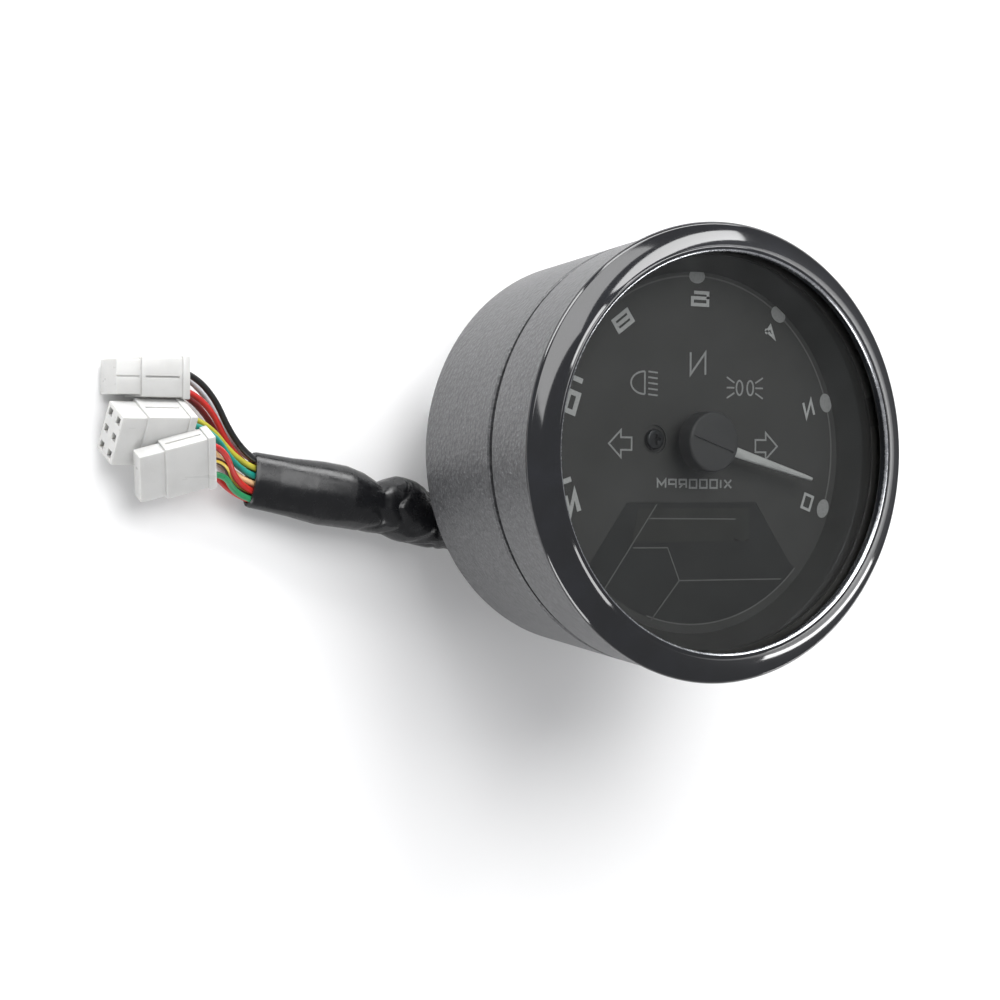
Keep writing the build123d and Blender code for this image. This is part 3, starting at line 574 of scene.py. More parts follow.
class Print:
    """Flat printed shapes gathered into one thin mesh on the dial."""

    THICK = 0.03

    def __init__(self, z):
        self.z = z
        self.points = []
        self.faces = []

    def shape(self, outline, holes=()):
        """A filled outline, as a thin slab."""
        base = len(self.points)
        count = len(outline)
        area = sum(a[0] * b[1] - b[0] * a[1] for a, b in zip(outline, outline[1:] + outline[:1]))
        ordered = outline if area > 0 else outline[::-1]
        self.points += [(x, y, self.z) for x, y in ordered]
        self.points += [(x, y, self.z + self.THICK) for x, y in ordered]
        self.faces.append(tuple(base + i for i in reversed(range(count))))
        self.faces.append(tuple(base + count + i for i in range(count)))
        for i in range(count):
            j = (i + 1) % count
            self.faces.append((base + i, base + j, base + count + j, base + count + i))

    def stroke(self, points, width, closed=False):
        """A line of even width with mitred corners."""
        path = [Vector(p) for p in points]
        count = len(path)
        left = []
        right = []
        for i, at in enumerate(path):
            before = path[i - 1] if i or closed else None
            after = path[(i + 1) % count] if i < count - 1 or closed else None
            into = (at - before).normalized() if before is not None else (after - at).normalized()
            out = (after - at).normalized() if after is not None else into
            along = (into + out).normalized() if (into + out).length > 1e-6 else out
            reach = width / 2 / max(0.35, along.dot(out))
            side = Vector((-along.y, along.x)) * reach
            left.append(at + side)
            right.append(at - side)
        spans = count if closed else count - 1
        base = len(self.points)
        rims = [[tuple(p) for p in left], [tuple(p) for p in right]]
        for height in (self.z, self.z + self.THICK):
            for rim in rims:
                self.points += [(x, y, height) for x, y in rim]
        low_left, low_right, top_left, top_right = (base + k * count for k in range(4))
        for i in range(spans):
            j = (i + 1) % count
            self.faces += [
                (top_left + i, top_right + i, top_right + j, top_left + j),
                (low_left + j, low_right + j, low_right + i, low_left + i),
                (low_left + i, top_left + i, top_left + j, low_left + j),
                (top_right + i, low_right + i, low_right + j, top_right + j),
            ]
        if not closed:
            last = count - 1
            self.faces.append((low_right, top_right, top_left, low_left))
            self.faces.append((low_left + last, top_left + last, top_right + last, low_right + last))

    def write(self, text, centre, size, weight, up=90.0, gap=0.35):
        """Blocky characters, each size = (width, height), mirrored, with their tops towards up degrees."""
        top = Vector((math.cos(math.radians(up)), math.sin(math.radians(up))))
        onward = Vector((-top.y, top.x))
        widths = [size[0] * GLYPH_WIDTH.get(c, 1.0) for c in text]
        total = sum(widths) + gap * (len(text) - 1)
        start = -total / 2
        for character, width in zip(text, widths):
            for strand in GLYPHS[character]:
                closed = strand[0] == strand[-1]
                corners = strand[:-1] if closed else strand
                placed = [
                    Vector(centre) + onward * (start + x * width) + top * ((y - 0.5) * size[1])
                    for x, y in corners
                ]
                self.stroke(placed, weight, closed)
            start += width + gap

    def finish(self, name, material, slot="dial_print"):
        return piece(name, self.points, self.faces, [material], slot)


GLYPH_WIDTH = {"1": 0.09, "M": 1.15}
GLYPHS = {
    "0": [[(0, 0), (1, 0), (1, 1), (0, 1), (0, 0)]],
    "1": [[(0.5, 0), (0.5, 1)]],
    "2": [[(0, 1), (1, 1), (0, 0), (1, 0)]],
    "4": [[(0.78, 0), (0.78, 1), (0, 0.32), (1, 0.32)]],
    "6": [[(0.9, 1), (0, 1), (0, 0.5)], [(0, 0), (1, 0), (1, 0.55), (0, 0.55), (0, 0)]],
    "8": [[(0, 0), (1, 0), (1, 1), (0, 1), (0, 0)], [(0.1, 0.5), (0.9, 0.5)]],
    "M": [[(0, 0), (0, 1), (0.5, 0.35), (1, 1), (1, 0)]],
    "N": [[(0, 0), (0, 1), (1, 0), (1, 1)]],
    "P": [[(0, 0), (0, 1), (1, 1), (1, 0.45), (0, 0.45)]],
    "R": [[(0, 0), (0, 1), (1, 1), (1, 0.45), (0, 0.45)], [(0.45, 0.45), (1, 0)]],
    "X": [[(0, 0), (1, 1)], [(0, 1), (1, 0)]],
}


# ---------------------------------------------------------------- harness: sleeve and leads
SLEEVE_ROUTE = [(0.7, -19.1, 7.4), (-21.5, -15.6, 6.9), (-45.0, -9.0, 6.0), (-67.2, -5.7, 4.0)]
SLEEVE_BORE_DEPTH = 17.0
LEAD_DRAWN_D = 1.2
PITCH = 3.4
SHELL = 2.0
HIGH = PITCH + 2 * SHELL


def centreline(points, samples=24):
    """Points along the smooth line that a route's corners control, in millimetres."""
    curve = bpy.data.curves.new("route", "CURVE")
    curve.dimensions = "3D"
    curve.resolution_u = samples
    spline = curve.splines.new("NURBS")
    spline.points.add(len(points) - 1)
    for spot, p in zip(spline.points, points):
        spot.co = (*(Vector(p) * MM), 1)
    spline.order_u = 3
    spline.use_endpoint_u = True
    holder = bpy.data.objects.new("route", curve)
    SCENE.collection.objects.link(holder)
    bpy.context.view_layer.update()
    mesh = bpy.data.meshes.new_from_object(holder)
    line = [v.co / MM for v in mesh.vertices]
    bpy.data.objects.remove(holder)
    bpy.data.meshes.remove(mesh)
    if (line[0] - Vector(points[0])).length > (line[-1] - Vector(points[0])).length:
        line.reverse()
    return line


def line_length(line):
    return sum((b - a).length for a, b in zip(line, line[1:]))


def evenly(line, count):
    """count points spaced evenly along a line."""
    steps = [0.0]
    for a, b in zip(line, line[1:]):
        steps.append(steps[-1] + (b - a).length)
    wanted = np.linspace(0, steps[-1], count)
    coords = np.array([tuple(p) for p in line])
    return [Vector(np.array([np.interp(s, steps, coords[:, k]) for k in range(3)])) for s in wanted]


def frames_along(line):
    """Sideways, upward and forward directions at each point of a line."""
    result = []
    for i, at in enumerate(line):
        along = (line[min(i + 1, len(line) - 1)] - line[max(i - 1, 0)]).normalized()
        side = along.cross(Vector((0, 0, 1))).normalized()
        result.append((side, side.cross(along).normalized(), along))
    return result


def tube(name, line, radius, sides, material, slot, inner=None, inner_rows=0, **ride):
    """A tube along a line. radius(i, angle) gives its outside, and inner a bore at its far end."""
    frames = frames_along(line)
    points = []
    for i, (at, (side, up, along)) in enumerate(zip(line, frames)):
        for k in range(sides):
            a = 2 * math.pi * k / sides
            r = radius(i, a)
            points.append(at + side * (r * math.cos(a)) + up * (r * math.sin(a)))
    rows = len(line)
    if inner:
        for i in range(rows - 1, rows - 1 - inner_rows, -1):
            side, up, along = frames[i]
            at = line[i]
            for k in range(sides):
                a = 2 * math.pi * k / sides
                r = inner(i, a)
                points.append(at + side * (r * math.cos(a)) + up * (r * math.sin(a)))
    total = rows + (inner_rows if inner else 0)
    faces = [tuple(range(sides)), *bands(0, total, sides, outward=False)]
    faces.append(tuple((total - 1) * sides + k for k in reversed(range(sides))))
    made = piece(name, points, faces, [material], slot, sharp=50, **ride)
    layer = made.data.uv_layers.new(name="around")
    for polygon in made.data.polygons:
        ring_end = any(made.data.loops[i].vertex_index % sides == sides - 1 for i in polygon.loop_indices)
        for i in polygon.loop_indices:
            vertex = made.data.loops[i].vertex_index
            turn_share = (vertex % sides) / sides
            if ring_end and turn_share == 0:
                turn_share = 1.0
            layer.data[i].uv = (vertex // sides / total, turn_share)
    return made


sleeve_line = evenly(centreline(SLEEVE_ROUTE), 280)
SLEEVE_LENGTH = line_length(sleeve_line)


SLEEVE_WALL = 0.7
# half widths of the sleeve against the distance from its mouth: twelve o'clock side, six o'clock
# side, and half its height; it is flattened at the mouth, pinched once and bulged beside the pinch
UPPER_HALF = [(0, 5.5), (8, 5.6), (14.5, 6.1), (19, 6.2), (22.6, 5.6), (25.9, 4.5), (28.3, 6.0), (30, 6.8),
              (33.4, 6.7), (37.8, 5.5), (44, 5.2), (70, 5.5)]
LOWER_HALF = [(0, 5.0), (8.5, 5.4), (15, 5.9), (21, 5.5), (28.3, 5.1), (33.5, 5.5), (39, 4.9), (44, 4.5),
              (52, 5.1), (70, 5.5)]
HEIGHT_HALF = [(0, 2.9), (5, 3.2), (12, 4.4), (20, 5.2), (26, 4.8), (31, 5.4), (70, 5.5)]


def along_sleeve(table, from_mouth):
    """Value of one of the tables above at a distance from the mouth."""
    return float(np.interp(from_mouth, [d for d, _ in table], [v for _, v in table]))


def sleeve_half_sizes(i, inset=0.0):
    """Distance of a row from the sleeve's mouth, and its oval's two half widths and half height."""
    from_mouth = SLEEVE_LENGTH * (1 - i / (len(sleeve_line) - 1))
    return from_mouth, [along_sleeve(t, from_mouth) - inset for t in (UPPER_HALF, LOWER_HALF, HEIGHT_HALF)]


def oval(halves, angle):
    """Radius of an oval with its own half width on each side."""
    upper, lower, height = halves
    width = upper if math.cos(angle) > 0 else lower
    return 1 / math.hypot(math.cos(angle) / width, math.sin(angle) / height)


def sleeve_radius(i, angle):
    """Outside of the sleeve: smooth at its mouth, creased and puckered nearer the case."""
    from_mouth, halves = sleeve_half_sizes(i)
    r = oval(halves, angle)
    crumpled = min(1.0, max(0.0, (from_mouth - 21.0) / 6.0)) * (1.0 if from_mouth < 48.0 else 0.45)
    r -= 0.35 * math.exp(-((from_mouth - 34.5 - 4.0 * math.sin(angle)) / 1.1) ** 2)
    r -= 0.3 * math.exp(-((from_mouth - 41.0 + 4.0 * math.sin(angle + 0.6)) / 1.0) ** 2)
    at = Vector((from_mouth * 0.16, math.cos(angle) * 0.9, math.sin(angle) * 0.9))
    fold = 1 - abs(noise.noise(at * 1.25 + Vector((3.1, 0, 0)))) * 2.2
    r -= 0.3 * crumpled * max(0.0, fold) ** 3
    fine = Vector((from_mouth * 0.5, math.cos(angle) * 2.2, math.sin(angle) * 2.2))
    r += 0.14 * crumpled * noise.noise(fine)
    r += 0.04 * noise.noise(Vector((from_mouth * 0.12, math.cos(angle), math.sin(angle) + 7.0)))
    return r - (0.15 * (0.5 - from_mouth) / 0.5 if from_mouth < 0.5 else 0.0)


def sleeve_bore(i, angle):
    """Inside of the sleeve near its mouth."""
    return oval(sleeve_half_sizes(i, SLEEVE_WALL)[1], angle)


bore_rows = round(SLEEVE_BORE_DEPTH / SLEEVE_LENGTH * len(sleeve_line))
sleeve = tube("sleeve", sleeve_line, sleeve_radius, 96, MATERIALS["sleeve_black"], "sleeve_black",
              inner=sleeve_bore, inner_rows=bore_rows, replaces=["harness_sleeve"])

# ---------------------------------------------------------------- connectors
CONNECTOR_LENGTH = 15.0
NOSE = 5.0
HOLE = 2.2
PIN_HOLE = 1.5
FUNNEL = 2.8
SEAM = 0.3
SEAM_HALF_WIDE = 0.2
NOSE_INSET = 0.45
COLLAR_OUT = 0.3
ONE_HIGH = 2 * SHELL
place_a = Matrix.Translation((-89.3, 13.2, HIGH / 2 + 0.02))
place_b = Matrix.Translation((-90.0, 2.9, 5.95)) @ Matrix.Rotation(math.radians(30), 4, "X")
place_c = (place_b @ Matrix.Translation((4.1, -3.6, (HIGH + ONE_HIGH) / 2 + 0.08))
           @ Matrix.Rotation(math.radians(17), 4, "Z"))
# plugs whose mating face shows its pin holes
OPEN_FACED = ("b",)
# rows, columns, where the leads leave a plug straight, and its place
CONNECTORS = {"a": (2, 2, 11.0, place_a), "b": (3, 2, 11.0, place_b), "c": (3, 1, 9.5, place_c)}


def cavity_offsets(rows, columns):
    """Terminal positions across a connector: rows along Y, columns along Z."""
    return [((i - (rows - 1) / 2) * PITCH, (j - (columns - 1) / 2) * PITCH)
            for i in range(rows) for j in range(columns)]


def block(start, end, bevel=0.0, segments=2):
    """A box between two corners as a scratch object, its edges rounded."""
    mesh = bpy.data.meshes.new("block")
    made = bmesh.new()
    bmesh.ops.create_cube(made, size=1.0)
    span = Vector(end) - Vector(start)
    middle = (Vector(end) + Vector(start)) / 2
    for v in made.verts:
        v.co = Vector([c * s for c, s in zip(v.co, span)]) + middle
    if bevel:
        bmesh.ops.bevel(made, geom=list(made.edges), offset=bevel, segments=segments, affect="EDGES",
                        profile=0.5)
    made.to_mesh(mesh)
    made.free()
    result = bpy.data.objects.new("block", mesh)
    SCENE.collection.objects.link(result)
    return result


def combined(first, added=(), cut=()):
    """First with others joined on and cut away, as a mesh; the scratch objects are removed."""
    for other, operation in [*((o, "UNION") for o in added), *((o, "DIFFERENCE") for o in cut)]:
        step = first.modifiers.new("step", "BOOLEAN")
        step.object = other
        step.operation = operation
        step.solver = "EXACT"
    bpy.context.view_layer.update()
    mesh = bpy.data.meshes.new_from_object(first.evaluated_get(bpy.context.evaluated_depsgraph_get()))
    for scratch in (first, *added, *cut):
        bpy.data.objects.remove(scratch)
    return mesh


def connector(key):
    """A nylon plug: body, narrower nose, collar and a cavity for each lead."""
    rows, columns, _, matrix = CONNECTORS[key]
    half_y = ((rows - 1) * PITCH + 2 * SHELL) / 2
    half_z = ((columns - 1) * PITCH + 2 * SHELL) / 2
    back = CONNECTOR_LENGTH / 2
    step = -back + NOSE
    body = block((step, -half_y, -half_z), (back, half_y, half_z), 0.35)
    nose_y, nose_z = half_y - NOSE_INSET, half_z - NOSE_INSET
    nose = block((-back, -nose_y, -nose_z), (step + 1.0, nose_y, nose_z), 0.25)
    collar = block((back - 1.6, -half_y - COLLAR_OUT, -half_z),
                   (back - 0.1, half_y + COLLAR_OUT, half_z + COLLAR_OUT), 0.2)
    added = [nose, collar]
    cut = []
    for y, z in cavity_offsets(rows, columns):
        cut.append(block((-back + 1.2, y - HOLE / 2, z - HOLE / 2), (back + 1, y + HOLE / 2, z + HOLE / 2)))
        if key in OPEN_FACED:
            cut.append(block((-back - 1, y - PIN_HOLE / 2, z - PIN_HOLE / 2),
                             (-back + 1.5, y + PIN_HOLE / 2, z + PIN_HOLE / 2)))
        cut.append(block((back - 0.8, y - FUNNEL / 2, z - FUNNEL / 2),
                         (back + 1, y + FUNNEL / 2, z + FUNNEL / 2)))
    # a shallow seam along each narrow side, and along the top of the square plug
    for side in (-1, 1):
        edge = sorted((side * (half_y - SEAM), side * (half_y + 1)))
        cut.append(block((step + 0.8, edge[0], -SEAM_HALF_WIDE), (back - 2.2, edge[1], SEAM_HALF_WIDE)))
    if rows == columns:
        cut.append(block((step + 0.8, -SEAM_HALF_WIDE, half_z - SEAM),
                         (back - 2.2, SEAM_HALF_WIDE, half_z + 1)))
        cut.append(block((-back - 1, -SEAM_HALF_WIDE, nose_z - SEAM / 2),
                         (step - 0.3, SEAM_HALF_WIDE, half_z + 1)))
    mesh = combined(body, added, cut)
    mesh.transform(Matrix.Scale(MM, 4) @ matrix)
    return adopted(f"plug_{key}", mesh, [MATERIALS["connector_nylon"]],
                   replaces=[f"connector_{key}"])


plugs = {key: connector(key) for key in CONNECTORS}

# colour, place across and above the middle of the flat mouth, and cavity; the leads lie in two layers
UPPER, LOWER = 0.72, -0.72
LEADS = {
    "a": [("black", (3.6, UPPER), 3), ("grey", (3.6, LOWER), 2), ("maroon", (0.72, LOWER), 0),
          ("red", (2.16, LOWER), 1)],
    "b": [("olive", (2.16, UPPER), 4), ("teal", (0.72, UPPER), 5), ("white", (-0.72, LOWER), 0),
          ("cream", (-0.72, UPPER), 2), ("red", (-3.6, LOWER), 1)],
    "c": [("red", (-2.16, UPPER), 2), ("brown", (-2.16, LOWER), 1), ("green", (-3.6, UPPER), 0)],
}
mouth = Vector(SLEEVE_ROUTE[3])
sleeve_dir = (mouth - Vector(SLEEVE_ROUTE[2])).normalized()
level = Vector((sleeve_dir.y, -sleeve_dir.x, 0)).normalized()
rise = level.cross(sleeve_dir)


def in_sleeve(depth, across, lift=0.0):
    """A point inside the sleeve's mouth, the given depth from its rim."""
    return mouth - sleeve_dir * depth + level * across[0] + rise * (across[1] + lift)


for key, leads in LEADS.items():
    rows, columns, straight, matrix = CONNECTORS[key]
    for colour_name, across, cavity in leads:
        y, z = cavity_offsets(rows, columns)[cavity]
        route = [
            in_sleeve(SLEEVE_BORE_DEPTH, across),
            in_sleeve(8.0, across, 0.25),
            in_sleeve(-2.5, across),
            matrix @ Vector((straight, y, z)),
            matrix @ Vector((3.0, y, z)),
        ]
        line = evenly(centreline(route), 90)
        node = f"lead_{key}_{colour_name}"
        lead = tube(f"wire_{key}_{colour_name}", line, lambda i, a: LEAD_DRAWN_D / 2, 20,
                    MATERIALS[f"lead_{colour_name}"], f"lead_{colour_name}", replaces=[node])

# ---------------------------------------------------------------- bezel and lens
RIM_R = high("bezel").x
LIP_Z = high("bezel").z
RIM_Z = LIP_Z - 3.3
LIP_R = 36.85
SEAT_R = 38.8                        # the lens sits inside this
SKIRT_R = 39.6
SKIRT_LOW = 56.0
UNDER_LIP = high("lens_gasket").z
cove_start = Vector((RIM_R - 0.45, RIM_Z + 0.65))
cove_middle = Vector((39.75, RIM_Z + 1.3))
cove_end = Vector((38.1, LIP_Z - 0.45))
cove = [tuple(cove_start * (1 - t) ** 2 + cove_middle * 2 * t * (1 - t) + cove_end * t ** 2)
        for t in (k / 14 for k in range(1, 14))]
bezel_outline = [
    (LIP_R + 0.35, LIP_Z), (LIP_R, LIP_Z - 0.35), (LIP_R, UNDER_LIP), (SEAT_R, UNDER_LIP),
    (SEAT_R, SKIRT_LOW), (SKIRT_R, SKIRT_LOW), (SKIRT_R, RIM_Z - 0.7), (RIM_R - 0.8, RIM_Z - 0.7),
    (RIM_R, RIM_Z - 0.4), (RIM_R, RIM_Z + 0.2),
    tuple(cove_start), *cove, tuple(cove_end), (37.75, LIP_Z),
]
rounded_outline = softened(bezel_outline, 0.22)
# faces of the lip and of the back of the rim take the bright metal: partly their cut edge, partly a painted
# highlight
bright = []
for i, (r, z) in enumerate(rounded_outline):
    r2, z2 = rounded_outline[(i + 1) % len(rounded_outline)]
    middle_r, middle_z = (r + r2) / 2, (z + z2) / 2
    on_lip = middle_r < LIP_R + 0.42 and middle_z > LIP_Z - 0.5
    on_back = middle_r > 41.6 and middle_z < RIM_Z - 0.36
    bright.append(1 if on_lip or on_back else 0)
lathe("bezel_ring", rounded_outline, [MATERIALS["black_chrome"], CUT_EDGE_AND_HIGHLIGHT], "black_chrome", 320,
      edge_slots=bright, replaces=["bezel"], sharp=50)

lens_low, lens_high = low("lens"), high("lens")
lens_r = lens_high.x


def disc(name, radius, z0, z1, edge, material, slot, segments=192, **ride):
    """A round sheet with softened edges, closed in the middle."""
    rim = [(radius - edge, z0), (radius, z0 + edge), (radius, z1 - edge), (radius - edge, z1)]
    points = [(0, 0, z0)]
    faces = []
    for s in range(segments):
        a = 2 * math.pi * s / segments
        points += [(r * math.cos(a), r * math.sin(a), z) for r, z in rim]
    points.append((0, 0, z1))
    last = len(points) - 1
    for s in range(segments):
        here, there = 1 + s * 4, 1 + (s + 1) % segments * 4
        faces.append((0, there, here))
        for i in range(3):
            faces.append((here + i, there + i, there + i + 1, here + i + 1))
        faces.append((last, here + 3, there + 3))
    return piece(name, points, faces, [material], slot, **ride)


disc("lens_sheet", lens_r, lens_low.z, lens_high.z, 0.25, MATERIALS["lens_clear"], "lens_clear",
     replaces=["lens"])

# ---------------------------------------------------------------- dial
DIAL_Z = high("dial_plate").z
SCALE_AT = (-0.05, 0.52)
SCALE_R = 32.3
ZERO_ANGLE = -19.6
STEP_ANGLE = 36.2
BLOCK_Z = DIAL_Z + 0.005

numbers = Print(BLOCK_Z)
# value, middle of the figure, size of a character between stroke centres, weight of its strokes
FIGURES = [
    ("0", (26.65, -9.09), (2.65, 1.95), 0.5),
    ("2", (26.87, 8.59), (2.85, 1.9), 0.5),
    ("4", (17.68, 22.84), (2.6, 1.8), 0.55),
    ("6", (1.26, 28.65), (3.55, 2.25), 0.64),
    ("8", (-16.18, 24.07), (3.65, 2.35), 0.74),
    ("10", (-27.02, 10.28), (3.5, 2.1), 0.95),
    ("12", (-27.61, -8.16), (3.5, 2.1), 0.95),
]
for i, (text, at, size, weight) in enumerate(FIGURES):
    numbers.write(text, at, size, weight, up=ZERO_ANGLE + STEP_ANGLE * i, gap=2.45)
numbers.finish("dial_figures", INK)

# round marks stand at the first four figures only
DOTS = 4
scale = Print(BLOCK_Z)
dots = Print(BLOCK_Z + 0.012)
for i in range(DOTS):
    a = math.radians(ZERO_ANGLE + STEP_ANGLE * i)
    out = Vector((math.cos(a), math.sin(a)))
    across = Vector((-out.y, out.x))
    middle = Vector(SCALE_AT) + out * SCALE_R
    outline = []
    for k in range(40):
        b = 2 * math.pi * k / 40
        outline.append(tuple(middle + out * (1.35 * math.cos(b)) + across * (1.8 * math.sin(b))))
    dots.shape(outline)
scale.stroke(arc(SCALE_AT, SCALE_R, ZERO_ANGLE, ZERO_ANGLE + 6 * STEP_ANGLE, 120), 0.3)
dots.finish("dial_dots", INK_DIM)
scale.finish("dial_scale_line", INK_FAINT)

icons = Print(BLOCK_Z)
THIN = 0.34
icons.write("N", (0.86, 16.6), (3.4, 4.1), 0.42)


def arrow(tip, side):
    """Outline of a turn-signal arrow; side is +1 when it points towards +X."""
    x, y = tip
    corners = [(0, 0), (-2.7, 2.5), (-2.7, 1.15), (-5.1, 1.15), (-5.1, -1.15), (-2.7, -1.15), (-2.7, -2.5)]
    icons.stroke([(x + side * cx, y + cy) for cx, cy in corners], THIN, closed=True)


arrow((-19.2, 1.55), -1)
arrow((19.4, 1.4), 1)
# high beam: a bulging lamp with five slanting rays
lamp = Vector((-11.2, 12.8))
icons.stroke([tuple(lamp + Vector((0.0, y))) for y in (-2.1, 2.1)], THIN)
bulge = [tuple(lamp + Vector((-3.1 * math.cos(t), 2.1 * math.sin(t))))
         for t in (math.radians(-90 + 9 * k) for k in range(21))]
icons.stroke(bulge, THIN)
for k in range(5):
    y = 2.1 - 1.05 * k
    icons.stroke([tuple(lamp + Vector((0.75, y))), tuple(lamp + Vector((2.9, y - 0.2)))], 0.3)
# position lights: two narrow rings with rays fanning to both sides
for cx in (10.5, 13.0):
    ring_line = [(cx + 0.72 * math.cos(t), 12.25 + 1.35 * math.sin(t))
                 for t in (2 * math.pi * k / 24 for k in range(24))]
    icons.stroke(ring_line, THIN, closed=True)
for side, start in ((-1, 9.3), (1, 14.2)):
    for tilt in (-1, 0, 1):
        a = (start, 12.25 + 0.95 * tilt)
        b = (start + side * 1.75, 12.25 + 1.95 * tilt)
        icons.stroke([a, b], 0.3)
icons.write("X1000RPM", (0.25, -5.75), (1.58, 1.5), 0.34, gap=0.78)
icons.finish("dial_icons", INK_DIM)

# display window: smoked film, the display's own cell showing paler in it, and the printed cell lines
window_arc = arc(SCALE_AT, SCALE_R + 0.2, -43.0, -137.0, 60)
film = Print(DIAL_Z + 0.03)
film.shape([(-15.1, -9.3), (14.3, -9.1), (22.4, -20.4), *window_arc, (-24.2, -21.7)])
film.finish("display_window", SMOKED_WINDOW, "display_glass")
cell = Print(DIAL_Z + 0.07)
cell.shape([(-12.6, -10.4), (12.9, -10.2), (12.9, -16.4), (-14.0, -16.6)])
cell.finish("display_patch", DISPLAY_CELL, "display_glass")
cells = Print(DIAL_Z + 0.11)
CELL_LINES = [
    [(-8.4, -9.6), (-20.1, -25.2)],
    [(-10.0, -12.2), (9.7, -12.3)],
    [(-13.7, -17.6), (-5.9, -17.6), (-3.2, -23.7), (20.4, -23.6)],
    [(-3.2, -23.7), (-9.6, -31.0)],
]
for line in CELL_LINES:
    cells.stroke(line, 0.24)
cells.stroke(arc(SCALE_AT, SCALE_R + 0.1, -43.0, -109.0, 40), 0.26)
cells.finish("display_cells", INK_FAINT)

# ---------------------------------------------------------------- pointer
hub_middle = (low("pointer_hub") + high("pointer_hub")) / 2
PIVOT = Vector((hub_middle.x, hub_middle.y))
NEEDLE_REST = -15.4
NEEDLE_START = 3.2
NEEDLE_LENGTH = 25.4
NEEDLE_ROOT_HALF = 1.05
NEEDLE_TIP_HALF = 0.4
ROOT_R = 3.6
HUB_R = high("pointer_hub").x - PIVOT.x
HUB_LOW, HUB_TOP = low("pointer_hub").z, high("pointer_hub").z
NEEDLE_LOW, NEEDLE_TOP = 55.9, high("pointer_needle").z
along = Vector((math.cos(math.radians(NEEDLE_REST)), math.sin(math.radians(NEEDLE_REST))))
side = Vector((-along.y, along.x))


def on_pointer(x, y, z):
    """A point given along and across the needle."""
    p = PIVOT + along * x + side * y
    return (p.x, p.y, z)


def needle():
    """A tapered blade with a shallow ridge, a blunt tip, and a round root under the cap."""
    stations = []
    for k in range(13):
        x = NEEDLE_START + (NEEDLE_LENGTH - NEEDLE_START) * k / 12
        half = NEEDLE_ROOT_HALF + (NEEDLE_TIP_HALF - NEEDLE_ROOT_HALF) * k / 12
        if k == 12:
            half *= 0.8
        stations.append((x, half))
    points = []
    for x, half in stations:
        profile = [(-half, NEEDLE_LOW + 0.1), (-half, NEEDLE_TOP - 0.32), (-half * 0.72, NEEDLE_TOP - 0.12),
                   (0.0, NEEDLE_TOP), (half * 0.72, NEEDLE_TOP - 0.12), (half, NEEDLE_TOP - 0.32),
                   (half, NEEDLE_LOW + 0.1)]
        points += [on_pointer(x, y, z) for y, z in profile]
    count = len(profile)
    faces = bands(0, len(stations), count)
    faces.append(tuple(reversed(range(count))))
    faces.append(tuple((len(stations) - 1) * count + i for i in range(count)))
    base = len(points)
    segments = 48
    edge = 0.1
    for z, r in ((NEEDLE_LOW, ROOT_R - edge), (NEEDLE_LOW + edge, ROOT_R), (NEEDLE_TOP - edge, ROOT_R),
                 (NEEDLE_TOP, ROOT_R - edge)):
        points += ring_at(PIVOT, r, z, segments)
    faces += bands(base, 4, segments)
    faces.append(tuple(base + s for s in reversed(range(segments))))
    faces.append(tuple(base + 3 * segments + s for s in range(segments)))
    piece("needle_blade", points, faces, [MATERIALS["pointer_white"]], "pointer_white", body="pointer",
          replaces=["pointer_needle"], sharp=28)


needle()


def hub_cap():
    """A low round cap, hollow underneath, with a fine saw cut across its top beside the middle."""
    segments = 128
    wall = 0.9
    hollow = 2.2
    edge = 0.12
    corner = 0.5
    rings = [(HUB_R - wall, HUB_LOW + hollow), (HUB_R - wall, HUB_LOW), (HUB_R - edge, HUB_LOW),
             (HUB_R, HUB_LOW + edge), *arc((HUB_R - corner, HUB_TOP - corner), corner, 0, 90, 6)]
    points = []
    for r, z in rings:
        points += ring_at(PIVOT, r, z, segments)
    last = (len(rings) - 1) * segments
    faces = bands(0, len(rings), segments)
    faces += [tuple(reversed(range(segments))), tuple(range(last, last + segments))]
    mesh = bpy.data.meshes.new("cap")
    mesh.from_pydata(points, [], faces)
    cap = bpy.data.objects.new("cap", mesh)
    SCENE.collection.objects.link(cap)
    cut = block((-4.7, -0.68, HUB_TOP - 0.3), (4.7, -0.32, HUB_TOP + 1))
    swing = Matrix.Translation((PIVOT.x, PIVOT.y, 0)) @ Matrix.Rotation(math.radians(NEEDLE_REST - 3), 4, "Z")
    cut.data.transform(swing)
    mesh = combined(cap, cut=[cut])
    mesh.transform(Matrix.Scale(MM, 4))
    adopted("hub_cap", mesh, [MATERIALS["hub_black"]], body="pointer", replaces=["pointer_hub"],
            sharp=30)


hub_cap()

# ---------------------------------------------------------------- studs and nuts
STUD_R = 3.0
THREAD_PITCH = 1.0
THREAD_DEPTH = 0.54
STUDS = [(-22.0, 8.0), (22.0, 8.0)]
HEAD_HIGH = 3.0
stud_top = high("mounting_studs").z - HEAD_HIGH + 0.1


def threaded_studs():
    """Two M6 studs with real threads and pointed starts; their hex heads sit inside the case."""
    around = 48
    rows = int(stud_top * 10)
    points = []
    faces = []
    for cx, cy in STUDS:
        base = len(points)
        points.append((cx, cy, 0.0))
        for i in range(rows + 1):
            z = stud_top * i / rows
            for k in range(around):
                a = 2 * math.pi * k / around
                phase = (z / THREAD_PITCH - k / around) % 1.0
                groove = max(0.0, 1 - abs(phase - 0.5) / 0.42)
                r = STUD_R - THREAD_DEPTH * groove
                r = min(r, STUD_R - 0.7 + z)
                points.append((cx + r * math.cos(a), cy + r * math.sin(a), z))
        points.append((cx, cy, stud_top))
        last = len(points) - 1
        for k in range(around):
            j = (k + 1) % around
            faces.append((base, base + 1 + j, base + 1 + k))
            faces.append((last, last - around + k, last - around + j))
        faces += bands(base + 1, rows + 1, around)
    piece("threaded_studs", points, faces, [MATERIALS["zinc_steel"]], "zinc_steel",
          replaces=["mounting_studs"], sharp=60)


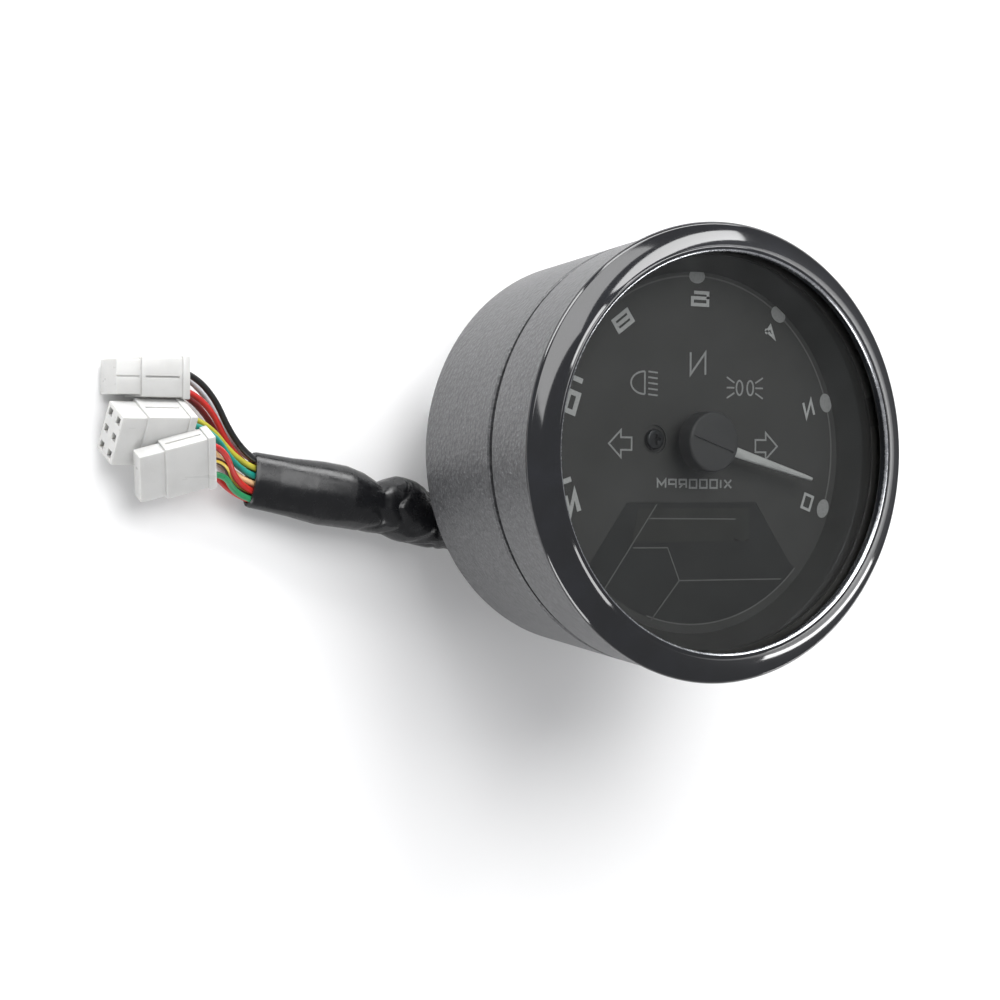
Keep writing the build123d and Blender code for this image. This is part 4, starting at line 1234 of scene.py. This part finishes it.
def stud_heads():
    """The studs' hex heads, held inside the case."""
    z0, z1 = high("mounting_studs").z - HEAD_HIGH, high("mounting_studs").z
    corner = 5.0
    edge = 0.3
    rims = [(corner - edge, z0), (corner, z0 + edge), (corner, z1 - edge), (corner - edge, z1)]
    points = []
    faces = []
    for centre in STUDS:
        base = len(points)
        for r, z in rims:
            points += ring_at(centre, r, z, 6, start=30)
        faces.append(tuple(base + k for k in reversed(range(6))))
        faces.append(tuple(base + 18 + k for k in range(6)))
        faces += bands(base, len(rims), 6)
    piece("stud_heads", points, faces, [MATERIALS["zinc_steel"]], "zinc_steel", sharp=20)


def hex_nuts():
    """M6 nuts with the corners turned off at both faces and a countersunk bore."""
    z0, z1 = low("stud_nuts").z, high("stud_nuts").z
    flat = 5.0
    bore = STUD_R + 0.03
    mouth_r = STUD_R + 0.5
    face_r = flat * 0.985

    def outline(angle):
        corner = flat / math.cos((angle + math.pi / 6) % (math.pi / 3) - math.pi / 6)
        drop = max(0.0, corner - flat * 1.01) * 0.6 + 0.05
        return [(bore, z1 - 0.5), (mouth_r, z1), (face_r, z1), (corner, z1 - drop), (corner, z0 + drop),
                (face_r, z0), (mouth_r, z0), (bore, z0 + 0.5)]

    points = []
    faces = []
    for centre in STUDS:
        more_points, more_faces = revolved(outline, 72, centre, len(points))
        points += more_points
        faces += more_faces
    piece("hex_nuts", points, faces, [MATERIALS["zinc_steel"]], "zinc_steel", replaces=["stud_nuts"],
          sharp=32)


threaded_studs()
stud_heads()
hex_nuts()

# ---------------------------------------------------------------- floor and light
floor_mesh = bpy.data.meshes.new("floor")
REACH = 6.0
floor_mesh.from_pydata([(x * REACH, y * REACH, -0.0002) for x, y in ((-1, -1), (1, -1), (1, 1), (-1, 1))],
                       [], [(0, 1, 2, 3)])
floor_mesh.materials.append(floor_paint())
floor = bpy.data.objects.new("floor", floor_mesh)
SCENE.collection.objects.link(floor)

world = bpy.data.worlds.new("studio")
world.use_nodes = True
world.node_tree.nodes["Background"].inputs["Color"].default_value = (0.97, 0.975, 1.0, 1)
world.node_tree.nodes["Background"].inputs["Strength"].default_value = 0.42
SCENE.world = world


def softbox(name, at, size, power, target=(0.0, 0.0, 0.04)):
    """A rectangular area light aimed at the gauge; places in metres."""
    light = bpy.data.lights.new(name, "AREA")
    light.shape = "RECTANGLE"
    light.size, light.size_y = size
    light.energy = power
    made = bpy.data.objects.new(name, light)
    made.location = at
    made.rotation_mode = "QUATERNION"
    made.rotation_quaternion = (Vector(target) - Vector(at)).to_track_quat("-Z", "Y")
    SCENE.collection.objects.link(made)


softbox("overhead", (-0.05, 0.62, 1.20), (1.0, 0.9), 13.0)
softbox("twelve_o_clock", (0.25, 0.85, 0.42), (0.9, 0.35), 9.0)
softbox("left_top", (-0.55, 0.75, 0.35), (0.5, 0.3), 5.0)
softbox("left_bottom", (-0.50, -0.80, 0.35), (0.5, 0.3), 4.0)
softbox("right_low", (0.85, -0.45, 0.12), (0.5, 0.16), 2.5)
